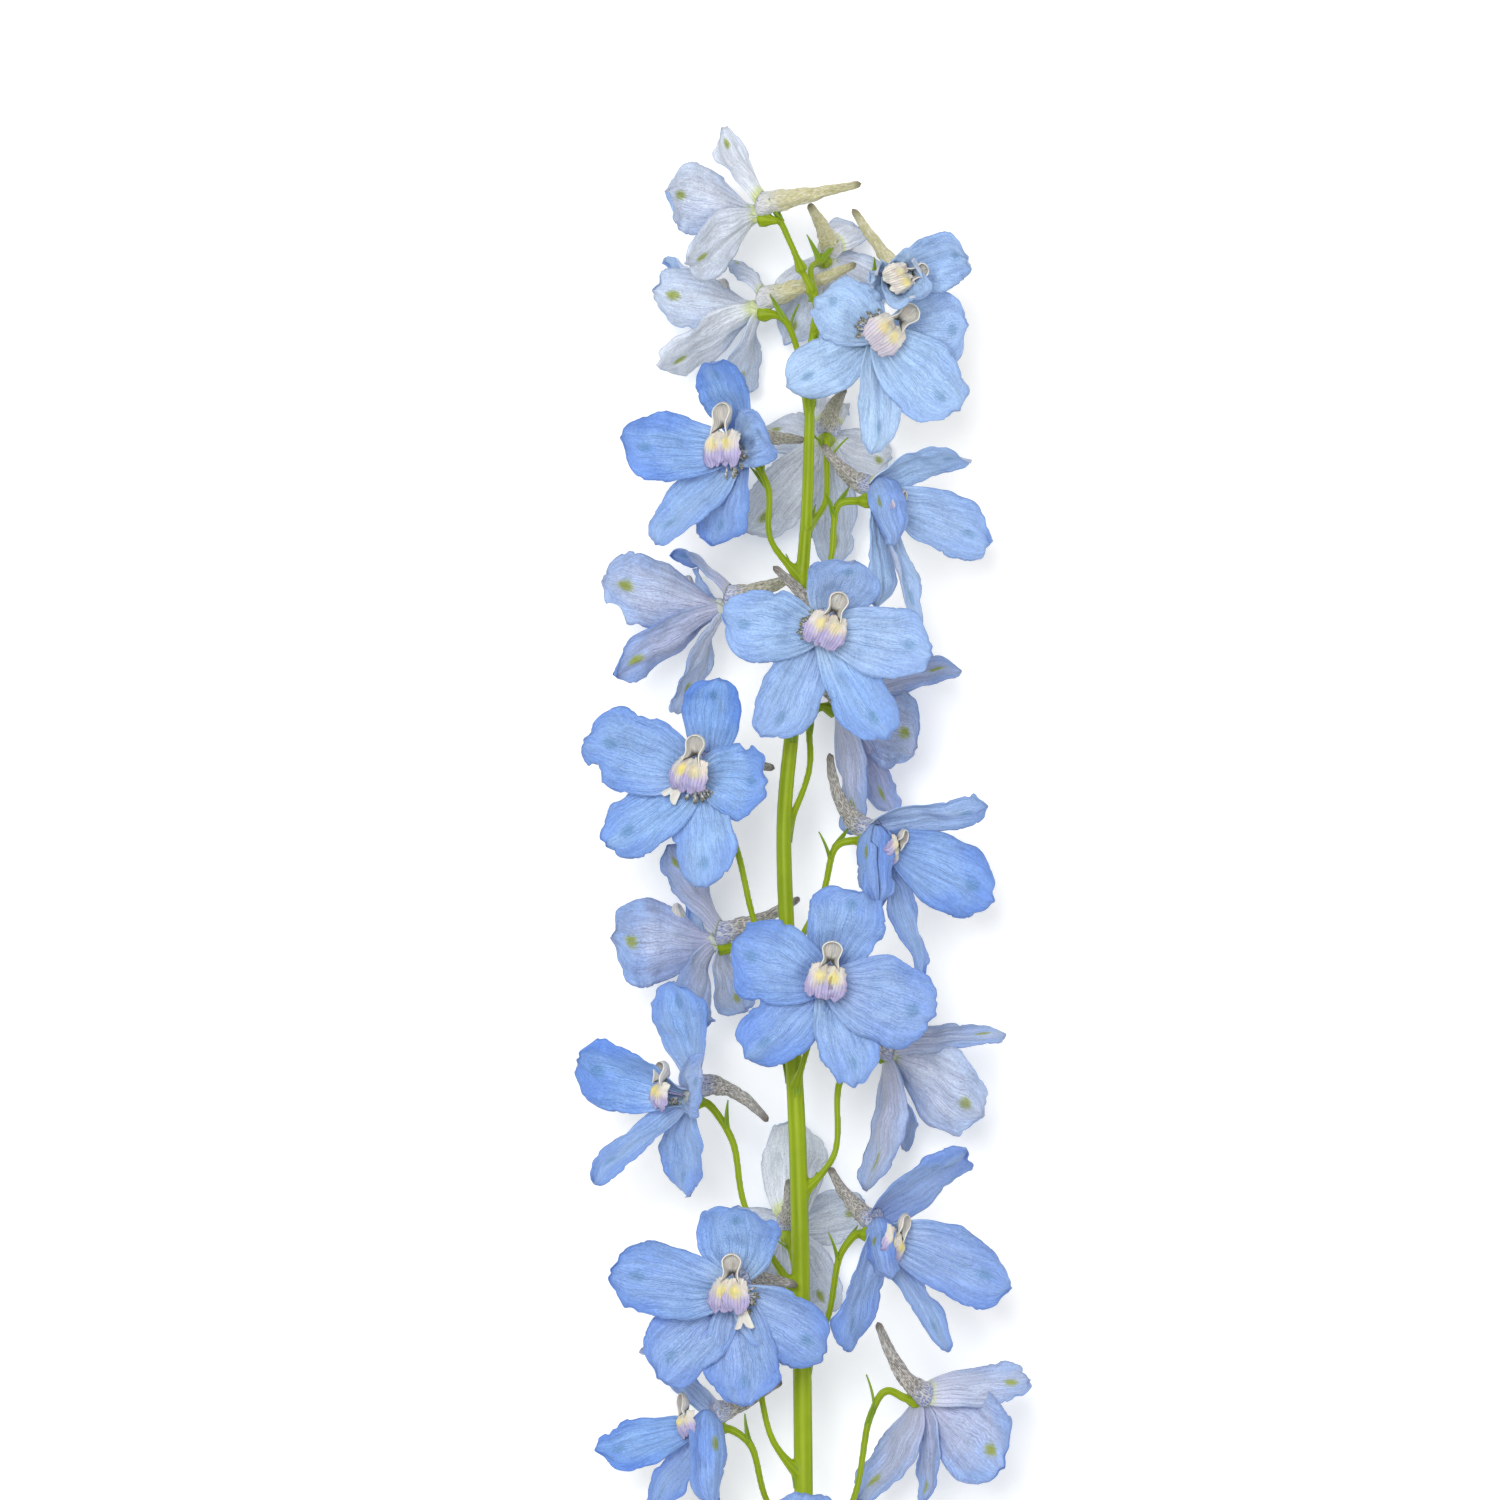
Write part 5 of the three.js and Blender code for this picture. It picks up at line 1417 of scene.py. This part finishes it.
@dataclass
class Greenery:
    """The main stem with its pedicels and receptacles, and the bracts."""

    path: tuple[tuple[float, float, float, float], ...] = (
        (1, 0, 0, 4.3), (1, 40, 0, 4.3), (0.5, 100, 0, 4.2), (-0.5, 150, 0, 4.0),
        (-2.5, 190, 0, 3.6), (-3.5, 222, 0, 3.4), (-1.5, 245, 0, 3.3), (0.5, 276, 0, 3.0),
        (1.5, 290, 0, 2.7), (2, 306, 0, 2.5), (2.5, 326, 0, 1.9), (3.5, 336, 0, 1.7),
        (0.5, 343, 0, 1.6),
    )
    waist: float = 1.5
    foot: float = 1.9
    neck: float = 2.1
    flare: float = 1.95  # the receptacle's radius
    below: float = 1.2
    step: float = 1.0
    voxel: float = 0.4
    bract_length: float = 7.5
    bracteole_length: float = 6.5
    bract_width: float = 1.3

    def stem_at(self, y: float) -> tuple[Vector, float]:
        """The stem's axis and diameter at a height."""
        pairs = list(zip(self.path, self.path[1:]))
        a, b = next((pair for pair in pairs if y < pair[1][1]), pairs[-1])
        t = clamp((y - a[1]) / (b[1] - a[1]))
        return Vector(a[:3]).lerp(Vector(b[:3]), t), mix(a[3], b[3], t)

    def main_route(self) -> Route:
        """The main stem's line."""
        top = self.path[-1][1]
        return Route(
            tuple(Vector(p[:3]) for p in self.path), lambda t: self.stem_at(t * top)[1] / 2, 0.0
        )

    def seat(self, floret: Floret) -> tuple[Vector, FloretFrame]:
        """Where a pedicel ends behind its floret."""
        own = floret.frame()
        return own.place(0, -self.below, -HUB_BACK - SEAT_GAP), own

    def pedicel_route(self, floret: Floret) -> Route:
        """A pedicel's line from inside the stem to the back of its floret."""
        seat, own = self.seat(floret)
        foot = Vector(self.path[-1][:3]) if floret.joint is None else self.stem_at(floret.joint)[0]
        places = (foot, *(Vector(p) for p in floret.way), seat - own.out * 2.6, seat - own.out * 0.4)

        def radius(t: float) -> float:
            """Stout at the foot, slim on the way."""
            plain = mix(mix(self.foot, self.waist, min(1.0, t * 3)), self.neck, t**4) / 2
            return plain + 0.55 * ramp(t, 0.2, 0.02)

        return Route(places, radius, 1.0)

    def routes(self) -> list[Route]:
        """The main stem's line, then every pedicel's."""
        return [self.main_route(), *(self.pedicel_route(floret) for floret in FLORETS)]

    def tube(self, piece: Piece, route: Route) -> None:
        """Adds a tube along a route."""
        points = route.points(self.step)
        last = len(points) - 1
        flat_ends = route.kind == 0.0

        def spine(t: float) -> tuple[Vector, Vector, Vector]:
            """The tube's centre and directions across, the first and last rows being its ends."""
            i = clamp(t * (last + 2) - 1, 0, last)
            low = min(int(i), last - 1)
            centre = points[low].lerp(points[low + 1], i - low)
            along = (points[min(low + 2, last)] - points[max(low - 1, 0)]).normalized()
            side = (Vector((0, 0, 1)) - along * along.z).normalized()
            return centre, side, along.cross(side)

        def radius(t: float, angle: float) -> float:
            """The route's radius, with low ridges on the main stem."""
            share = clamp((t * (last + 2) - 1) / last)
            ridges = 1 + (0.025 * math.cos(7 * angle) if flat_ends else 0.0)
            return route.radius(share) * ridges

        piece.tube(20 if flat_ends else 14, last + 2, spine, radius, lambda a, c: (0.0, 0.0, 0.0))

    def receptacle(self, piece: Piece, floret: Floret) -> None:
        """Adds the swollen end of a pedicel."""
        seat, own = self.seat(floret)
        length, cover = 4.2, 1.5

        def spine(t: float) -> tuple[Vector, Vector, Vector]:
            """The receptacle's axis, from its foot to the sepals that it carries."""
            return seat + own.out * (cover - length * (1 - t)) + own.up * 0.5 * t, own.right, own.up

        def radius(t: float, angle: float) -> float:
            """A cup that flares to the seat, with bumps."""
            around = Vector((math.cos(angle) * 1.7, math.sin(angle) * 1.7, t * 3 + own.heart.x))
            bumps = 0.4 * noise.noise(around * 1.9)
            plain = mix(0.9, self.flare, ramp(t, 0.0, 0.7)) * math.sqrt(clamp((1 - t) / 0.14))
            return plain * (1 + bumps * ramp(t, 0.2, 0.5))

        piece.tube(20, 14, spine, radius, lambda a, c: (0.0, 0.0, 0.0))

    def build_stem(self, skin: bpy.types.Material) -> bpy.types.Object:
        """Builds the stem with its pedicels grown together with it."""
        piece = Piece("stem_and_pedicels")
        routes = self.routes()
        for route in routes:
            self.tube(piece, route)
        for floret in FLORETS:
            self.receptacle(piece, floret)
        made = piece.object([skin])
        self.fuse(made)
        self.mark_stem(made, routes)
        return placed(made, Slot.GREEN, "stem")

    def fuse(self, made: bpy.types.Object) -> None:
        """Makes one skin of the crossing tubes and softens where they meet."""
        remesh = made.modifiers.new("one_skin", "REMESH")
        remesh.mode = "VOXEL"
        remesh.voxel_size = self.voxel * MM
        remesh.use_smooth_shade = True
        depsgraph = bpy.context.evaluated_depsgraph_get()
        data = bpy.data.meshes.new_from_object(made.evaluated_get(depsgraph))
        made.modifiers.clear()
        skin = made.data.materials[0]
        made.data = data
        data.materials.clear()
        data.materials.append(skin)
        soft = bmesh.new()
        soft.from_mesh(data)
        for _ in range(3):
            bmesh.ops.smooth_vert(
                soft, verts=soft.verts, factor=0.5, use_axis_x=True, use_axis_y=True, use_axis_z=True
            )
        soft.to_mesh(data)
        soft.free()

    def mark_stem(self, made: bpy.types.Object, routes: Sequence[Route]) -> None:
        """Writes for each vertex its length along the nearest route and its way round it."""
        samples = []
        for route in routes:
            points = route.points(self.step)
            for i, point in enumerate(points):
                ahead = (points[min(i + 1, len(points) - 1)] - points[max(i - 1, 0)]).normalized()
                radius = route.radius(i / (len(points) - 1))
                samples.append((in_scene(point), ahead, i * self.step, route.kind, radius))
        tree = KDTree(len(samples))
        for i, sample in enumerate(samples):
            tree.insert(sample[0], i)
        tree.balance()
        data = made.data
        pattern = data.attributes.get(Layer.PATTERN.value)
        if pattern is None:
            pattern = data.attributes.new(Layer.PATTERN.value, "FLOAT_VECTOR", "POINT")
        cut = in_scene(Vector((0, 0.35, 0))).y
        values = []
        for vert in data.vertices:
            near = tree.find_n(vert.co, 4)
            place, index, _ = min(near, key=lambda n: n[2] - samples[n[1]][4] * MM)
            _, ahead, run, kind, _ = samples[index]
            side = (Vector((0, 0, 1)) - ahead * ahead.z).normalized()
            away = vert.co - place
            angle = math.atan2(away.dot(ahead.cross(side)), away.dot(side)) / (2 * math.pi)
            values += (run, angle, 2.0 if vert.co.y < cut else kind * 0.5)
        pattern.data.foreach_set("vector", values)
        for polygon in data.polygons:
            polygon.use_smooth = True

    def bract(self, piece: Piece, root: Vector, along: Vector, outward: Vector, length: float) -> None:
        """Adds a narrow pointed leaf, keeled and curved outward."""
        across = along.cross(outward).normalized()
        outward = across.cross(along)

        def surface(t: float, s: float) -> Vector:
            """The leaf's middle surface."""
            half = self.bract_width / 2 * mix(1.0, 1.15, math.sin(math.pi * t)) * (1 - t**1.7) + 0.02
            lift = 0.32 * length * t**1.6 + 0.25 * half * s * s
            return root + along * (length * (t - 0.12)) + across * (half * s) + outward * lift

        piece.blade(6, 14, surface, lambda t, s: (t * length, s * 0.3, 0.5), 0.35, outward)

    def build_bracts(self, skin: bpy.types.Material) -> bpy.types.Object:
        """Builds the bract under each pedicel and the two bracteoles near its top."""
        piece = Piece("bracts")
        up = Vector((0, 1, 0))
        for floret in FLORETS:
            _, own = self.seat(floret)
            points = self.pedicel_route(floret).points(self.step)
            last = len(points) - 1
            if floret.joint is not None:
                out = points[round(last * 0.35)] - points[0]
                out.y = 0
                out.normalize()
                root = points[0] + out * (self.stem_at(floret.joint)[1] * 0.42) - up * 0.9
                self.bract(piece, root, up, out, self.bract_length)
            for share, lean in ((0.74, -1.2), (0.82, 1.2)):
                i = round(last * share)
                along = (points[i + 1] - points[i - 1]).normalized()
                outward = up * 1.5 + own.right * lean
                outward = (outward - along * outward.dot(along)).normalized()
                root = points[i] + outward * (self.waist * 0.35)
                ahead = (along + outward * 0.45).normalized()
                self.bract(piece, root, ahead, outward, self.bracteole_length)
        return placed(piece.object([skin]), Slot.GREEN, "stem")


# ---------------------------------------------------------------------------------------------
# The studio
# ---------------------------------------------------------------------------------------------
@dataclass(frozen=True)
class Studio:
    """A pale floor, soft light from above and a camera that looks straight down."""

    eye: Triple = (-11.0, 237.6, 2000.0)  # over the spike, measured as the spike is
    view_width: float = 330.0  # what the picture spans at the stem's axis
    sensor: float = 36.0
    floor_half: float = 15.0

    def camera(self) -> None:
        """Sets the camera."""
        data = bpy.data.cameras.new("camera")
        data.sensor_width = self.sensor
        data.lens = self.sensor * self.eye[2] / self.view_width
        data.clip_end = 100.0
        made = bpy.data.objects.new("camera", data)
        made.location = in_scene(Vector(self.eye))
        bpy.context.scene.collection.objects.link(made)
        bpy.context.scene.camera = made

    def floor(self) -> None:
        """Lays the floor."""
        sheet = bmesh.new()
        bmesh.ops.create_grid(sheet, x_segments=1, y_segments=1, size=self.floor_half)
        data = bpy.data.meshes.new("floor")
        sheet.to_mesh(data)
        sheet.free()
        data.materials.append(FloorSkin().material())
        made = bpy.data.objects.new("floor", data)
        bpy.context.scene.collection.objects.link(made)
        made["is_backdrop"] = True

    def light(self, name: str, place: Triple, size: float, watts: float) -> None:
        """Adds a square soft light that looks at the spike."""
        data = bpy.data.lights.new(name, "AREA")
        data.size = size
        data.energy = watts
        made = bpy.data.objects.new(name, data)
        made.location = place
        made.rotation_euler = Vector(place).to_track_quat("Z", "Y").to_euler()
        bpy.context.scene.collection.objects.link(made)

    def world(self) -> None:
        """Sets an even pale surround."""
        world = bpy.data.worlds.new("surround")
        world.use_nodes = True
        background = world.node_tree.nodes["Background"]
        background.inputs["Color"].default_value = (0.98, 0.985, 1.0, 1.0)
        background.inputs["Strength"].default_value = 0.64
        bpy.context.scene.world = world

    def build(self) -> None:
        """Sets up everything round the object."""
        self.camera()
        self.floor()
        self.light("key", (-0.35, 0.45, 1.9), 0.8, 23.0)
        self.light("fill", (0.8, -0.3, 1.8), 1.2, 5.0)
        self.world()
        bpy.context.scene.view_settings.view_transform = "Standard"


FRONT = SepalSkin(
    "sepal_front", rgb(138, 181, 234), rgb(94, 140, 216), rgb(180, 209, 240), rgb(90, 130, 196),
    rgb(186, 212, 238), rgb(152, 168, 206), rgb(66, 102, 178), 0.55, rgb(72, 124, 160), 0.5, 0.07, 0.0,
    rgb(190, 200, 160), 0.0,
)
BACK = SepalSkin(
    "sepal_back", rgb(184, 201, 230), rgb(134, 174, 228), rgb(190, 194, 220), rgb(176, 180, 206),
    rgb(222, 227, 233), rgb(186, 186, 212), rgb(120, 118, 162), 0.6, rgb(148, 160, 78), 1.0, 0.075, 0.1,
    rgb(196, 206, 122), 0.85,
)
SIDE = SepalSkin(
    "sepal_side", rgb(140, 178, 234), rgb(110, 152, 222), rgb(150, 168, 220), rgb(146, 166, 222),
    rgb(186, 210, 236), rgb(160, 164, 212), rgb(84, 106, 172), 0.6, rgb(128, 144, 74), 1.0, 0.08, 0.1,
    rgb(170, 190, 190), 0.4,
)
STEM_SKIN = StemSkin("stem_skin", rgb(132, 154, 6), rgb(158, 178, 22), rgb(98, 122, 4))
BRACT_SKIN = StemSkin("bract_skin", rgb(120, 152, 30), rgb(150, 178, 56), rgb(84, 110, 18), stripes=9.0)


def main() -> None:
    """Builds the studio, the florets and the greenery."""
    logging.basicConfig(level=logging.INFO, format="%(message)s")
    Studio().build()
    petals = [FRONT.material(), BACK.material(), SpurSkin().material(), SIDE.material()]
    throats = [LobeSkin().material(), HoodSkin().material(), StamenSkin().material()]
    for number, floret in enumerate(FLORETS, 1):
        Flower(floret, number).build(petals)
        Bee(floret, number).build(throats)
    greenery = Greenery()
    greenery.build_stem(STEM_SKIN.material())
    greenery.build_bracts(BRACT_SKIN.material())
    [[list(corner) for corner in box] for box in (CAD_BOX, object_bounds())]


if __name__ == "__main__":
    main()
